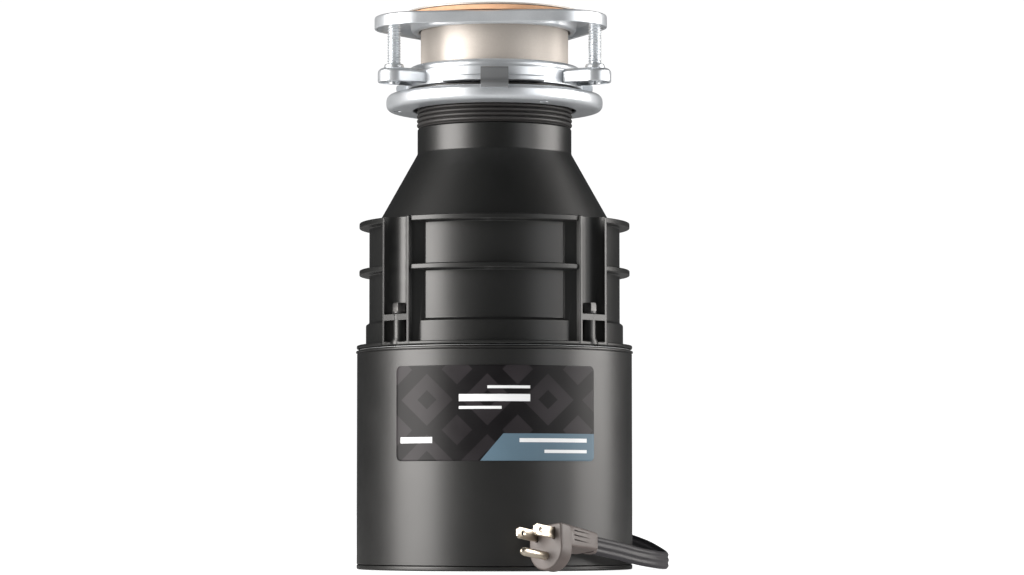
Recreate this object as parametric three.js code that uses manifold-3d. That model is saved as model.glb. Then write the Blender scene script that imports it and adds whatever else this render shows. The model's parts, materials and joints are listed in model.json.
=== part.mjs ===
// A continuous-feed kitchen garbage disposal, millimetres, +Z up.
// The origin is the centre of the base on the surface it stands on; the front is -Y.
import * as THREE from "three";
import { mergeVertices } from "three/addons/utils/BufferGeometryUtils.js";
import Module from "manifold-3d";

const wasm = await Module();
wasm.setup();

// ---- Driving dimensions ---------------------------------------------------
const gap = 0.3;                     // clearance between neighbouring pieces
const roundSteps = 32;               // sides of the large round shells
const innerSteps = 24;               // sides of the large pieces inside
const smallSteps = 16;               // sides of bearings, hubs and collars
const screwSteps = 12;               // sides of screws and pins

const canRadius = 80;                // motor can, outside
const canWall = 1.2;
const canBottom = 3;
const canTop = 126;
const rimRadius = 80.6;              // rolled rim at the top of the can
const recessDepth = 6;               // the base plate stands this far off the floor
const endBellTop = 127.1;            // rim of the upper end bell

const flangeRadius = 80.2;           // chamber flange that is bolted to the motor
const drumRadius = 73;
const ribRadius = 78.8;
const chamberBore = 69.5;
const coneBottom = 200.8;
const neckRadius = 45;
const neckBottom = 241.3;
const neckTop = 254.6;

const boltCircle = 75.8;
const boltRadius = 2.4;
const channelCentre = 80.6;          // concave channel in front of each bolt
const channelRadius = 9.3;
const finWidth = 22;
const shelfTop = 145;

const outletHeight = 151.5;
const outletBore = 17;
const outletFace = 80.3;
const inletHeight = 218;
const inletAngle = 60;

const shaftRadius = 6.35;
const turntableHeight = 172;         // top of the turntable
const turntableRadius = 60.5;
const lugPivot = 36;

const sleeveRadius = 43.15;
const sleeveWall = 1;
const earRadius = 66.8;                // circle of the three mounting screws
const earWidth = 18.8;
const screwRadius = 3.95;
const tabWidth = 15.4;
const backupBottom = 312.5;
const backupTop = 319.7;

const cordWidth = 10;
const cordThickness = 4;
const coilRadius = 59.6;             // middle of the turns of the coil
const coilHalfWidth = 4.6;
const coilCentre = new THREE.Vector2(3.5, 171.6);

// ---- Finishes ---------------------------------------------------------------
const blackPaint = { color: 0x2b2a29, roughness: 0.45, metalness: 0.2 };
const blackPlastic = { color: 0x242627, roughness: 0.5, metalness: 0 };
const rubber = { color: 0x1d1c1b, roughness: 0.75, metalness: 0 };
const zinc = { color: 0xdce0e4, roughness: 0.28, metalness: 1 };
const stainless = { color: 0xe1dad2, roughness: 0.25, metalness: 1 };
const castSteel = { color: 0x8d9094, roughness: 0.5, metalness: 1 };
const laminations = { color: 0x6b6d70, roughness: 0.55, metalness: 1 };
const copper = { color: 0xb5703f, roughness: 0.4, metalness: 1 };
const brass = { color: 0xd9b36a, roughness: 0.35, metalness: 1 };
const fibre = { color: 0xcda587, roughness: 0.9, metalness: 0 };
const redPlastic = { color: 0xb3261e, roughness: 0.4, metalness: 0 };
const greenPaint = { color: 0x2f7d43, roughness: 0.4, metalness: 0.3 };
const labelInk = { color: 0x1b1c20, roughness: 0.35, metalness: 0 };
const cordVinyl = { color: 0x3c3a3e, roughness: 0.6, metalness: 0 };
const plugVinyl = { color: 0x554e4c, roughness: 0.6, metalness: 0 };
const nickel = { color: 0xebe1d2, roughness: 0.3, metalness: 1 };

// ---- Shape helpers -------------------------------------------------------------
function solid(geometry) {
  const bare = geometry.clone();
  bare.deleteAttribute("normal");
  bare.deleteAttribute("uv");
  const merged = mergeVertices(bare, 1e-4);
  const corners = Array.from(merged.index.array);
  const triangles = [];
  for (let i = 0; i < corners.length; i += 3) {
    const [a, b, c] = corners.slice(i, i + 3);
    if (a !== b && b !== c && c !== a) triangles.push(a, b, c);
  }
  const mesh = new wasm.Mesh({
    numProp: 3,
    vertProperties: new Float32Array(merged.attributes.position.array),
    triVerts: new Uint32Array(triangles),
  });
  return new wasm.Manifold(mesh);
}

function geometryOf(manifold) {
  const mesh = manifold.getMesh();
  const geometry = new THREE.BufferGeometry();
  geometry.setAttribute("position", new THREE.BufferAttribute(mesh.vertProperties, 3));
  geometry.setIndex(new THREE.BufferAttribute(mesh.triVerts, 1));
  return geometry;
}

function join(...pieces) {
  return geometryOf(pieces.map(solid).reduce((whole, piece) => whole.add(piece)));
}

function cut(body, ...tools) {
  return geometryOf(tools.map(solid).reduce((rest, tool) => rest.subtract(tool), solid(body)));
}

// A ring or disc turned about Z from the corners of its closed [radius, height] outline.
function revolve(outline, steps = roundSteps) {
  const points = outline.map(([radius, height]) => new THREE.Vector2(radius, height));
  if (THREE.ShapeUtils.area(points) < 0) points.reverse();
  points.push(points[0].clone());
  return geometryOf(solid(new THREE.LatheGeometry(points, steps).rotateX(Math.PI / 2)));
}

function ring(inner, outer, bottom, top, steps = roundSteps) {
  return revolve([[inner, bottom], [outer, bottom], [outer, top], [inner, top]], steps);
}

function post(radius, bottom, top, steps = smallSteps) {
  const cylinder = new THREE.CylinderGeometry(radius, radius, top - bottom, steps);
  return cylinder.rotateX(Math.PI / 2).translate(0, 0, (bottom + top) / 2);
}

// A cylinder along +Y, from y = near to y = far, at the height z.
function bar(radius, near, far, z, steps = smallSteps) {
  return new THREE.CylinderGeometry(radius, radius, far - near, steps)
    .translate(0, (near + far) / 2, z);
}

// A box given by its centre in x and y, its width, depth, bottom and top.
function block(x, y, width, depth, bottom, top) {
  return new THREE.BoxGeometry(width, depth, top - bottom).translate(x, y, (bottom + top) / 2);
}

function plate(outline, bottom, top, curveSegments = 8) {
  const flat = new THREE.Shape(outline);
  const settings = { depth: top - bottom, bevelEnabled: false, curveSegments };
  return new THREE.ExtrudeGeometry(flat, settings).translate(0, 0, bottom);
}

function turned(geometry, degrees) {
  return geometry.clone().rotateZ(THREE.MathUtils.degToRad(degrees));
}

function moved(geometry, x, y, z = 0) {
  return geometry.clone().translate(x, y, z);
}

// Copies of a shape at the given angles round Z.
function around(geometry, angles) {
  return angles.map((angle) => turned(geometry, angle));
}

function polar(radius, degrees) {
  const angle = THREE.MathUtils.degToRad(degrees);
  return new THREE.Vector2(radius * Math.cos(angle), radius * Math.sin(angle));
}

// Corner points of an arc about (x, y), from one angle to another.
function arc(x, y, radius, from, to, steps) {
  return Array.from({ length: steps + 1 }, (_, i) => {
    const corner = polar(radius, from + ((to - from) * i) / steps);
    return corner.add(new THREE.Vector2(x, y));
  });
}

// ---- The assembly ----------------------------------------------------------------
const disposal = new THREE.Group();

function add(name, geometry, finish, parent = disposal) {
  const mesh = new THREE.Mesh(geometry, new THREE.MeshStandardMaterial(finish));
  mesh.name = name;
  parent.add(mesh);
  return mesh;
}

const boltAngles = [45, 135, 225, 315];
const earAngles = [90, 210, 330];
const tabAngles = [30, 150, 270];

// ---- Sink flange and mounting ----------------------------------------------------
const sleeveBottom = 281;
const rimLipRadius = 52.5;
const gasketBottom = 320;
const gasketTop = 322.7;
const sinkFlange = revolve([
  [sleeveRadius - sleeveWall, sleeveBottom], [sleeveRadius, sleeveBottom],
  [sleeveRadius, gasketTop + gap], [rimLipRadius, gasketTop + gap],
  [rimLipRadius, 324], [44.6, 324], [sleeveRadius - sleeveWall, 321.5],
]);
add("sink_flange", sinkFlange, stainless);
add("fiber_gasket", ring(44, 52.6, gasketBottom, gasketTop, innerSteps), fibre);

// The backup flange is a rounded triangle with a turned-down skirt and an inner collar.
function backupOutline(inset) {
  const lobe = 29.5 - inset;
  const lobeCircle = 44;
  return earAngles.flatMap((angle) => {
    const centre = polar(lobeCircle, angle - 6);
    return arc(centre.x, centre.y, lobe, angle - 66, angle + 54, 6);
  });
}
function backupFlange() {
  const shell = cut(
    plate(backupOutline(0), backupBottom, backupTop),
    plate(backupOutline(1.4), backupBottom - 1, backupTop - 2.2),
  );
  const collar = ring(44, 47, backupBottom, backupTop - 1);
  const bore = post(44, backupBottom - 1, backupTop + 1, roundSteps);
  return cut(join(shell, collar), bore);
}
add("backup_flange", backupFlange(), zinc);
add("snap_ring", ring(43.6, 46.2, 284, 286.6), castSteel);

const ringBottom = 278.6;
const earBottom = 279.8;
const earTop = 288;
const ledgeBottom = ringBottom;
const ledgeTop = 282.4;
function ear() {
  const tip = arc(earRadius, 0, earWidth / 2, -90, 90, 6);
  const rim = arc(earRadius, 0, earWidth / 2 - 1.8, -90, 90, 6);
  const outer = [new THREE.Vector2(47.7, -earWidth / 2), ...tip, new THREE.Vector2(47.7, earWidth / 2)];
  const inner = [new THREE.Vector2(51.4, 1.8 - earWidth / 2), ...rim,
    new THREE.Vector2(51.4, earWidth / 2 - 1.8)];
  const shell = cut(plate(outer, earBottom, earTop), plate(inner, earBottom - 1, earTop - 2.4));
  return join(shell, moved(post(6.2, earBottom + 1, earTop + 2.4), earRadius, 0));
}
function ledge() {
  const sweep = [...arc(0, 0, 57.5, -32, 30, 6), ...arc(0, 0, 50, 30, -32, 6)];
  return plate(sweep, ledgeBottom, ledgeTop);
}
function mountingRing() {
  const collar = revolve([
    [44.6, 287.2], [44.6, 291], [45.8, 292], [49.4, 292], [51, 290.6], [51.5, 288],
    [51.5, ringBottom], [47.6, ringBottom], [47.6, 287.2],
  ]);
  const threads = around(moved(post(screwRadius + gap, 270, 300), earRadius, 0), earAngles);
  const whole = join(collar, ...around(ear(), earAngles), ...around(ledge(), tabAngles));
  return cut(whole, ...threads);
}
add("mounting_ring", mountingRing(), zinc);

// Each mounting screw stands in an ear and bears on the underside of the backup flange.
const screwBottom = 279;
const screwTop = backupBottom - gap + 5;
function mountingScrew() {
  const rod = post(screwRadius, screwBottom, screwTop - 1, screwSteps);
  const tip = post(2.6, screwTop - 1.5, screwTop, screwSteps);
  const slot = block(0, 0, 1.4, 9, screwBottom - 1, screwBottom + 1.8);
  return cut(join(rod, tip), slot);
}
earAngles.forEach((angle, index) => {
  const place = polar(earRadius, angle);
  const screw = add(`mounting_screw_${index + 1}`, mountingScrew(), zinc);
  screw.position.set(place.x, place.y, 0);
});

const lockBottom = 266.8;
const lockRimTop = 276;
function lockTab() {
  const wall = block(59.3, 0, 2, tabWidth, 268, 285.4);
  const hook = block(56.3, 0, 8, tabWidth, ledgeTop + 0.5, 285.4);
  const foot = block(60.2, 0, 3.8, tabWidth, 267.5, 275.2);
  return join(wall, hook, foot);
}
function lowerMountingRing() {
  const dish = revolve([
    [47.4, lockBottom], [60.6, lockBottom], [62.4, 267.6], [63.4, 269.4], [63.4, 273.6],
    [62.4, 275.4], [61, lockRimTop], [60.2, 275], [60.9, 273.2], [60.9, 270.2],
    [60, 268.9], [47.4, 268.9],
  ]);
  const socketAngles = [60, 180, 300];
  const sockets = around(moved(post(4.2, 268, 274.4, screwSteps), 56.9, 0), socketAngles);
  const bores = around(moved(post(2.6, 260, 280, screwSteps), 56.9, 0), socketAngles);
  return cut(join(dish, ...around(lockTab(), tabAngles), ...sockets), ...bores);
}
add("lower_mounting_ring", lowerMountingRing(), zinc);

// Rubber cushion between the grind chamber's spigot and the mounting ring.
function cushionMount() {
  return revolve([
    [42, neckTop + gap], [45.2, neckTop + gap], [45.2, 268.6], [46.4, 269.4],
    [52.3, 269.6], [52.3, 278.2], [47.2, 278.2], [47.2, 280.6], [39.3, 280.6],
    [39.3, 263], [42, 263],
  ]);
}
add("cushion_mount", cushionMount(), rubber);

function splashBaffle() {
  const bowl = revolve([
    [14, 271], [39 - gap, 271], [39 - gap, 279], [36, 279], [36, 274], [14, 273],
  ], innerSteps);
  const slit = block(22, 0, 18, 1.2, 270, 275);
  return cut(bowl, ...around(slit, [0, 45, 90, 135, 180, 225, 270, 315]));
}
add("splash_baffle", splashBaffle(), rubber);

// ---- Grind chamber -------------------------------------------------------------------
const ringSeat = 167.7;
function boltHole(bottom, top) {
  return moved(post(boltRadius + gap, bottom, top, screwSteps), boltCircle, 0);
}
function boltBoss() {
  const reach = 79.6;
  const inner = 67.5;
  const fins = block((inner + reach) / 2, 0, reach - inner, finWidth, 128, coneBottom);
  const pads = plate([
    [68, -16], [71.6, -16.2], [78.6, -9.2], [78.6, 9.2], [71.6, 16.2], [68, 16],
  ].map(([x, y]) => new THREE.Vector2(x, y)), 128, coneBottom);
  const channelTop = 205;
  const upper = moved(post(channelRadius, shelfTop, channelTop), channelCentre, 0);
  const lower = moved(post(channelRadius, 129.4, shelfTop - 3), channelCentre, 0);
  const column = moved(post(3.9, 128, shelfTop, screwSteps), boltCircle, 0);
  return join(cut(join(fins, pads), upper, lower), column);
}
function outletBranch() {
  const throatStart = 60;
  const tube = bar(20.5, throatStart, outletFace, outletHeight);
  const earOffset = 28;
  const ears = [-earOffset, earOffset].map((x) => moved(bar(6.5, 66, outletFace, outletHeight), x, 0));
  const bridge = new THREE.BoxGeometry(2 * earOffset, 4, 13);
  bridge.translate(0, outletFace - 2, outletHeight);
  return join(tube, bridge, ...ears);
}
function outletHoles() {
  const screwHole = bar(2.4, 70, outletFace + 5, outletHeight, screwSteps);
  return [bar(outletBore, 50, outletFace + 5, outletHeight), moved(screwHole, -28, 0),
    moved(screwHole, 28, 0)];
}
function inletNipple(radius, start, end) {
  return turned(bar(radius, start, end, inletHeight), inletAngle - 90);
}
function grindChamber() {
  const outside = revolve([
    [0, 127.4], [flangeRadius, 127.4], [flangeRadius, 129.4], [74.9, 129.4], [74.9, 141.4],
    [drumRadius, 142.6], [drumRadius, 170], [ribRadius, 170], [ribRadius, 173.2],
    [drumRadius, 173.2], [drumRadius, 197.6], [ribRadius, 197.6], [ribRadius, coneBottom],
    [67.4, coneBottom], [neckRadius, neckBottom], [neckRadius, neckTop], [41.6, neckTop],
    [41.6, 262.6], [0, 262.6],
  ]);
  const bosses = around(boltBoss(), boltAngles);
  const bossRoom = around(moved(post(channelRadius, shelfTop, 205), channelCentre, 0), boltAngles);
  const footRoom = around(moved(post(channelRadius, 129.4, shelfTop - 3), channelCentre, 0), boltAngles);
  const inside = revolve([
    [0, 127], [chamberBore, 127], [chamberBore, 164], [65, 164], [65, ringSeat],
    [69.3, ringSeat], [69.3, 196], [64.5, 200.4], [42, 241.3], [38.4, 245], [38.4, 263], [0, 263],
  ]);
  const boltHoles = around(boltHole(120, 160), boltAngles);
  const gasketGroove = ring(70.6, 73.4, 127, 128.5);
  const drum = cut(outside, ...bossRoom, ...footRoom);
  const nipple = inletNipple(11, 40, 78);
  const whole = join(drum, ...bosses, outletBranch(), nipple, inletNipple(12, 72, 75));
  return cut(whole, inside, gasketGroove, ...boltHoles, ...outletHoles(), inletNipple(8, 40, 90));
}
add("grind_chamber", grindChamber(), blackPlastic);
add("chamber_gasket", ring(70.9, 73.1, 127.4, 128.2), rubber);
add("dishwasher_inlet_plug", inletNipple(8 - gap, 66, 68.5), blackPlastic);

function throughBolt() {
  const hexagon = new THREE.CylinderGeometry(4.3, 4.3, 5, 6).rotateX(Math.PI / 2);
  hexagon.translate(0, 0, shelfTop + 4);
  const washer = post(4.4, shelfTop + gap, shelfTop + 1.6, screwSteps);
  return join(hexagon, washer, post(boltRadius, 18, shelfTop + 3, screwSteps));
}
boltAngles.forEach((angle, index) => {
  const place = polar(boltCircle, angle);
  const bolt = add(`through_bolt_${index + 1}`, throughBolt(), blackPaint);
  bolt.position.set(place.x, place.y, 0);
  bolt.rotation.z = THREE.MathUtils.degToRad(angle);
});

// ---- Grinding gear ----------------------------------------------------------------------
function grindRing() {
  const band = ring(62.4, 68.6, ringSeat + gap, 190, innerSteps);
  const tooth = block(62, 0, 4, 3.4, 174, 195);
  return cut(band, ...around(tooth, Array.from({ length: 18 }, (_, i) => i * 20)));
}
add("grind_ring", grindRing(), castSteel);

const lugRivet = 3;
const lugTop = turntableHeight + 4.6;
function turntable() {
  const underside = turntableHeight - 2.6;
  const hubBottom = turntableHeight - 7;
  const disc = revolve([
    [shaftRadius + gap, hubBottom], [13, hubBottom], [15, underside], [58, underside],
    [turntableRadius, underside - 1.4], [turntableRadius, turntableHeight],
    [shaftRadius + gap, turntableHeight],
  ], innerSteps);
  const rivetHole = moved(post(lugRivet + gap, hubBottom, 190, screwSteps), lugPivot, 0);
  const drain = moved(post(2.2, hubBottom, 190, screwSteps), 50, 0);
  return cut(disc, ...around(rivetHole, [0, 180]), ...around(drain, [45, 135, 225, 315]));
}
add("turntable", turntable(), stainless);

// A lug swings on its rivet; its long end flies outwards and stays inside the grind ring.
function swivelLug() {
  const outline = [
    ...arc(0, 0, 8, 120, 240, 5), new THREE.Vector2(16, -8), ...arc(13, 0, 8.4, -70, 70, 5),
    new THREE.Vector2(16, 8),
  ];
  const hole = post(lugRivet + gap, turntableHeight - 10, turntableHeight + 10, screwSteps);
  const anvil = block(16, 0, 8, 15, lugTop - 0.6, lugTop + 6);
  return cut(join(plate(outline, turntableHeight + gap, lugTop), anvil), hole);
}
[0, 180].forEach((angle, index) => {
  const place = polar(lugPivot, angle);
  const lug = add(`swivel_lug_${index + 1}`, swivelLug(), castSteel);
  const rivetShape = join(
    post(lugRivet, turntableHeight - 4, lugTop + 1, screwSteps),
    post(4.8, lugTop + gap, lugTop + 2.4, screwSteps),
    post(4.8, turntableHeight - 4.6, turntableHeight - 2.6 - gap, screwSteps),
  );
  const rivet = add(`lug_rivet_${index + 1}`, rivetShape, stainless);
  [lug, rivet].forEach((piece) => piece.position.set(place.x, place.y, 0));
  lug.rotation.z = THREE.MathUtils.degToRad(angle);
});

function turntableNut() {
  const hexagon = new THREE.CylinderGeometry(10, 10, 6, 6).rotateX(Math.PI / 2);
  return cut(hexagon.translate(0, 0, turntableHeight + gap + 3), post(5 + gap, 160, 190));
}
add("turntable_nut", turntableNut(), stainless);

// ---- Motor -------------------------------------------------------------------------------
function rotorShaft() {
  const threaded = post(5, turntableHeight - 5, turntableHeight + 8);
  const rod = join(post(shaftRadius, 7.4, turntableHeight - 0.6), threaded);
  const socket = new THREE.CylinderGeometry(3.7, 3.7, 9, 6).rotateX(Math.PI / 2);
  return cut(rod, socket.translate(0, 0, 11.8));
}
add("rotor_shaft", rotorShaft(), castSteel);
add("shaft_seal", ring(shaftRadius + gap, 10.2, 132.3, 138.4, smallSteps), rubber);
add("upper_bearing", ring(shaftRadius + gap, 12.9, 112.4, 131.4, smallSteps), brass);

function upperEndBell() {
  const bell = revolve([
    [13.2, 112], [17.5, 112], [20, 130], [66, 130], [67.6, 126.3], [79.4, 126.3],
    [79.4, endBellTop], [68.8, endBellTop], [68.8, 133.5], [16, 133.5], [14, 139],
    [10.5, 139], [10.5, 131.8], [13.2, 131.8],
  ], innerSteps);
  return cut(bell, ...around(boltHole(120, 130), boltAngles));
}
add("upper_end_bell", upperEndBell(), castSteel);

function statorCore() {
  const stack = ring(36.3, 70.6, 46, 92, innerSteps);
  const slot = join(block(37, 0, 4, 2.4, 40, 100), block(46, 0, 16, 7, 40, 100));
  return cut(stack, ...around(slot, Array.from({ length: 12 }, (_, i) => i * 30 + 15)));
}
add("stator_core", statorCore(), laminations);

function winding(bottom, top) {
  const bevel = 3;
  return revolve([
    [40, bottom + bevel], [43, bottom], [58, bottom], [61, bottom + bevel],
    [61, top - bevel], [58, top], [43, top], [40, top - bevel],
  ], innerSteps);
}
add("winding_top", winding(92.3, 107), copper);
add("winding_bottom", winding(31, 45.7), copper);

function rotorCore() {
  return revolve([
    [shaftRadius + gap, 48], [20, 48], [20, 44], [33, 44], [33, 48], [35.8, 48],
    [35.8, 90], [33, 90], [33, 94], [20, 94], [20, 90], [shaftRadius + gap, 90],
  ], innerSteps);
}
add("rotor_core", rotorCore(), laminations);
add("governor_collar", ring(shaftRadius + gap, 13, 96, 103, smallSteps), brass);

function startSwitch() {
  const housing = block(29, 0, 16, 12, 113, 129.7);
  const arm = block(17.5, 0, 9, 4, 108.8, 110.4);
  return join(housing, arm, block(21.4, 0, 1.6, 4, 108.8, 114), block(22, 0, 2, 4, 113, 115));
}
add("start_switch", turned(startSwitch(), 90), blackPlastic);

const lowerBellBottom = 26;
function lowerEndBell() {
  const bell = revolve([
    [11.3, lowerBellBottom], [78, lowerBellBottom], [78, 29.6], [18, 29.6], [15.5, 38],
    [11.3, 38],
  ], innerSteps);
  return cut(bell, ...around(boltHole(20, 40), boltAngles));
}
add("lower_end_bell", lowerEndBell(), castSteel);
add("lower_bearing", ring(shaftRadius + gap, 11, lowerBellBottom, 38, smallSteps), brass);
add("thrust_washer", ring(shaftRadius + gap, 15, 38.6, 40.6, smallSteps), fibre);

const exitAngle = 110;               // the cord leaves the can at its rear left
const exitHeight = 16.6;
function motorShell() {
  const shell = revolve([
    [canRadius - canWall, canBottom], [canRadius, canBottom], [canRadius, canTop - 2.2],
    [rimRadius, canTop - 1.4], [rimRadius, canTop - 0.6], [canRadius, canTop],
    [canRadius - canWall, canTop],
  ]);
  const cordHole = bar(7.2, 60, 90, exitHeight);
  return cut(shell, turned(cordHole, exitAngle - 90));
}
add("motor_shell", motorShell(), blackPaint);

// ---- Base ------------------------------------------------------------------------------
const wiringPlace = new THREE.Vector2(-30, 22);
const coverScrewOffset = 15.5;
const buttonPlace = new THREE.Vector2(20, -38);
const groundPlace = new THREE.Vector2(-46, -18);
function baseCap() {
  const cap = revolve([
    [9, recessDepth], [69.4, recessDepth], [70.4, 0], [canRadius, 0], [canRadius, canBottom - gap],
    [78.4, canBottom - gap], [78.4, 8.4], [9, 8.4],
  ]);
  const wiringHole = block(wiringPlace.x, wiringPlace.y, 36, 20, 0, 10);
  const buttonHole = moved(post(4.9, 0, 10), buttonPlace.x, buttonPlace.y);
  const groundHole = moved(post(2.3, 0, 10, screwSteps), groundPlace.x, groundPlace.y);
  const boss = moved(post(4, 8, 12, screwSteps), wiringPlace.x, wiringPlace.y + coverScrewOffset);
  const bossHole = moved(post(1.8, 0, 20, screwSteps), wiringPlace.x, wiringPlace.y + coverScrewOffset);
  return cut(join(cap, boss), wiringHole, buttonHole, groundHole, bossHole);
}
add("base_cap", baseCap(), blackPaint);

const coverPlate = block(wiringPlace.x, wiringPlace.y + 2, 44, 36, 4.2, recessDepth - gap);
const coverHole = moved(post(1.8, 0, 10, screwSteps), wiringPlace.x, wiringPlace.y + coverScrewOffset);
add("wiring_cover", cut(coverPlate, coverHole), blackPaint);

function panSlotScrew(radius, headBottom, headTop, tip) {
  const head = post(2 * radius + 0.4, headBottom, headTop, screwSteps);
  const slot = block(0, 0, 1, 4 * radius, headBottom - 1, headBottom + 0.9);
  return cut(join(head, post(radius, headTop - 0.5, tip, screwSteps)), slot);
}
const coverScrew = add("cover_screw", panSlotScrew(1.5, 1.9, 4.2 - gap, 12), zinc);
coverScrew.position.set(wiringPlace.x, wiringPlace.y + coverScrewOffset, 0);
const groundScrew = add("ground_screw", panSlotScrew(2, 3, recessDepth - gap, 12), greenPaint);
groundScrew.position.set(groundPlace.x, groundPlace.y, 0);

const protector = block(0, 0, 22, 16, 9.6, 20.5);
add("overload_protector", moved(protector, buttonPlace.x, buttonPlace.y), blackPlastic);
const button = add("reset_button", post(4.5, 4.2, 9.2, smallSteps), redPlastic);
button.position.set(buttonPlace.x, buttonPlace.y, 0);

// The front label is a thin sheet wrapped round a quarter of the can.
function label() {
  const facets = roundSteps / 4;
  const inner = arc(0, 0, canRadius + gap, -135, -45, facets);
  const outer = arc(0, 0, rimRadius, -45, -135, facets);
  return plate([...inner, ...outer], 61.7, 114.5);
}
add("front_label", label(), labelInk);

// ---- Supply cord --------------------------------------------------------------------------
const reliefTip = 105;
function strainRelief() {
  const outline = [[0, 74.5], [7.6, 74.5], [7.6, 77.8], [6.7, 77.8], [6.7, 80.6], [8.4, 80.6],
    [8.4, 83.5], [6.2, reliefTip], [0, reliefTip]];
  const points = outline.map(([radius, reach]) => new THREE.Vector2(radius, reach));
  const taper = geometryOf(solid(new THREE.LatheGeometry(points, 16))).translate(0, 0, exitHeight);
  return turned(taper, exitAngle - 90);
}
add("strain_relief", strainRelief(), rubber);

// A flat cord standing on edge along a smooth curve through the given points.
function cordTube(points, steps) {
  const path = new THREE.CatmullRomCurve3(points.map((point) => new THREE.Vector3(...point)));
  const high = cordWidth / 2;
  const wide = cordThickness / 2;
  const edge = 1;
  const section = new THREE.Shape([
    new THREE.Vector2(high, wide - edge), new THREE.Vector2(high - edge, wide),
    new THREE.Vector2(edge - high, wide), new THREE.Vector2(-high, wide - edge),
    new THREE.Vector2(-high, edge - wide), new THREE.Vector2(edge - high, -wide),
    new THREE.Vector2(high - edge, -wide), new THREE.Vector2(high, edge - wide),
  ]);
  return new THREE.ExtrudeGeometry(section, { steps, bevelEnabled: false, extrudePath: path });
}

const tailHeights = [[gap, exitHeight], [6, exitHeight], [17, 15], [29, 11.4]];
const tail = tailHeights.map(([reach, height]) => {
  const place = polar(reliefTip + reach, exitAngle);
  return [place.x, place.y, height];
});
add("cord_tail", cordTube(tail, 4), cordVinyl);

const coilInner = coilRadius - coilHalfWidth;
const coilOuter = coilRadius + coilHalfWidth;
add("cord_coil", moved(ring(coilInner, coilOuter, 0, cordWidth), coilCentre.x, coilCentre.y), cordVinyl);

const lead = [
  [20, 226.6, 15.6], [34, 221, 16], [50, 209, 16], [64, 192, 16], [74, 170, 15.8],
  [80, 142, 15.4], [82, 112, 14.9], [83, 85, 14.2], [86, 60, 13], [91.5, 38, 10.6], [97, 16, 7.2],
  [99, -5, 5.4], [97, -23, 5.3], [91, -39, 6.2], [81, -52, 8.2], [69, -63, 11.4],
  [55.6, -74.4, 14.5],
];
add("cord_lead", cordTube(lead, 44), cordVinyl);

// The plug's own frame: x towards the prongs, y across the two blades, z up.
const plug = new THREE.Group();
const prongAxis = new THREE.Vector3(-0.68, -0.72, 0.15).normalize();
const acrossAxis = new THREE.Vector3(0.7, -0.66, 0.16);
acrossAxis.addScaledVector(prongAxis, -acrossAxis.dot(prongAxis)).normalize();
const upAxis = new THREE.Vector3().crossVectors(prongAxis, acrossAxis);
plug.quaternion.setFromRotationMatrix(new THREE.Matrix4().makeBasis(prongAxis, acrossAxis, upAxis));
plug.position.set(28, -105, 14.6);
disposal.add(plug);

const bladeLevel = 6.2;
const bladeSpacing = 12.7;
const groundDrop = 11.9;
const faceThickness = 9;
function plugBody() {
  const outline = [
    new THREE.Vector2(-12, 13.5), ...arc(0, -1.5, 12, 180, 360, 10), new THREE.Vector2(12, 13.5),
  ];
  const face = plate(outline, 0, faceThickness).rotateX(Math.PI / 2).rotateZ(-Math.PI / 2);
  const waist = block(-21, 0, 32, 20, bladeLevel - 5.6, bladeLevel + 5.6);
  const boot = block(-38, 0, 4, 8, bladeLevel - 5.2, bladeLevel + 5.2);
  const bladeRoom = [-1, 1].map((side) => {
    return block(0, (side * bladeSpacing) / 2, 8, 2.2, bladeLevel - 3.6, bladeLevel + 3.6);
  });
  const pinRoom = post(2.8, -4, 4, screwSteps).rotateY(Math.PI / 2);
  pinRoom.translate(0, 0, bladeLevel - groundDrop);
  return cut(join(face, waist, boot), ...bladeRoom, pinRoom);
}
add("plug_body", plugBody(), plugVinyl, plug);

function plugBlade() {
  const blade = block(6.6, 0, 19, 1.5, -3.175, 3.175);
  const eye = new THREE.CylinderGeometry(1.7, 1.7, 4, screwSteps).translate(11.5, 0, 0);
  return cut(blade, eye);
}
const blades = ["plug_blade_left", "plug_blade_right"];
blades.forEach((name, index) => {
  const blade = add(name, plugBlade(), nickel, plug);
  blade.position.set(0, (index - 0.5) * bladeSpacing, bladeLevel);
});
const groundPin = post(2.375, -3, 20.2, screwSteps).rotateY(Math.PI / 2);
add("plug_ground_pin", moved(groundPin, 0, 0, bladeLevel - groundDrop), nickel, plug);

export default disposal;
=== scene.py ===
"""Kitchen garbage disposal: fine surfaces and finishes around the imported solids.

Lengths are written in millimetres and turned into metres where a mesh is made.
The motor axis is Z, the base stands on z = 0 and the front label faces -Y.
"""
import json
import math

import bpy
import numpy as np
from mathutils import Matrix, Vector


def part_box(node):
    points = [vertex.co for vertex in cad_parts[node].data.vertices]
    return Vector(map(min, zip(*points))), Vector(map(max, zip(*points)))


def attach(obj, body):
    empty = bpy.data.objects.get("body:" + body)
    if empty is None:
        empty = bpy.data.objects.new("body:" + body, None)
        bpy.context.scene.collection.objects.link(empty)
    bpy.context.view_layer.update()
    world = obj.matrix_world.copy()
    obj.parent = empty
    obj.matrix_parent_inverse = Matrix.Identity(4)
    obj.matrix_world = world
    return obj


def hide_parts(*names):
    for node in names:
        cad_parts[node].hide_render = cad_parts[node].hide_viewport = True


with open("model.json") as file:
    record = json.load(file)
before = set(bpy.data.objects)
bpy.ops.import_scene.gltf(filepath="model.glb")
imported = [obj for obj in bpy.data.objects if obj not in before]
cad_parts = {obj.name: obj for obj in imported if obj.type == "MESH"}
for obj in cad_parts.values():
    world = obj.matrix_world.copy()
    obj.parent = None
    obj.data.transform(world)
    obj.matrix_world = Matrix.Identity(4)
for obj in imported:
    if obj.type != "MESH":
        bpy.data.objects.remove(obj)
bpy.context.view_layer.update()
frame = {"nodes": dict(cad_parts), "record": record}

MM = 0.001


def low(node):
    """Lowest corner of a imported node, in millimetres."""
    return np.array(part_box(node)[0]) / MM


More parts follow.
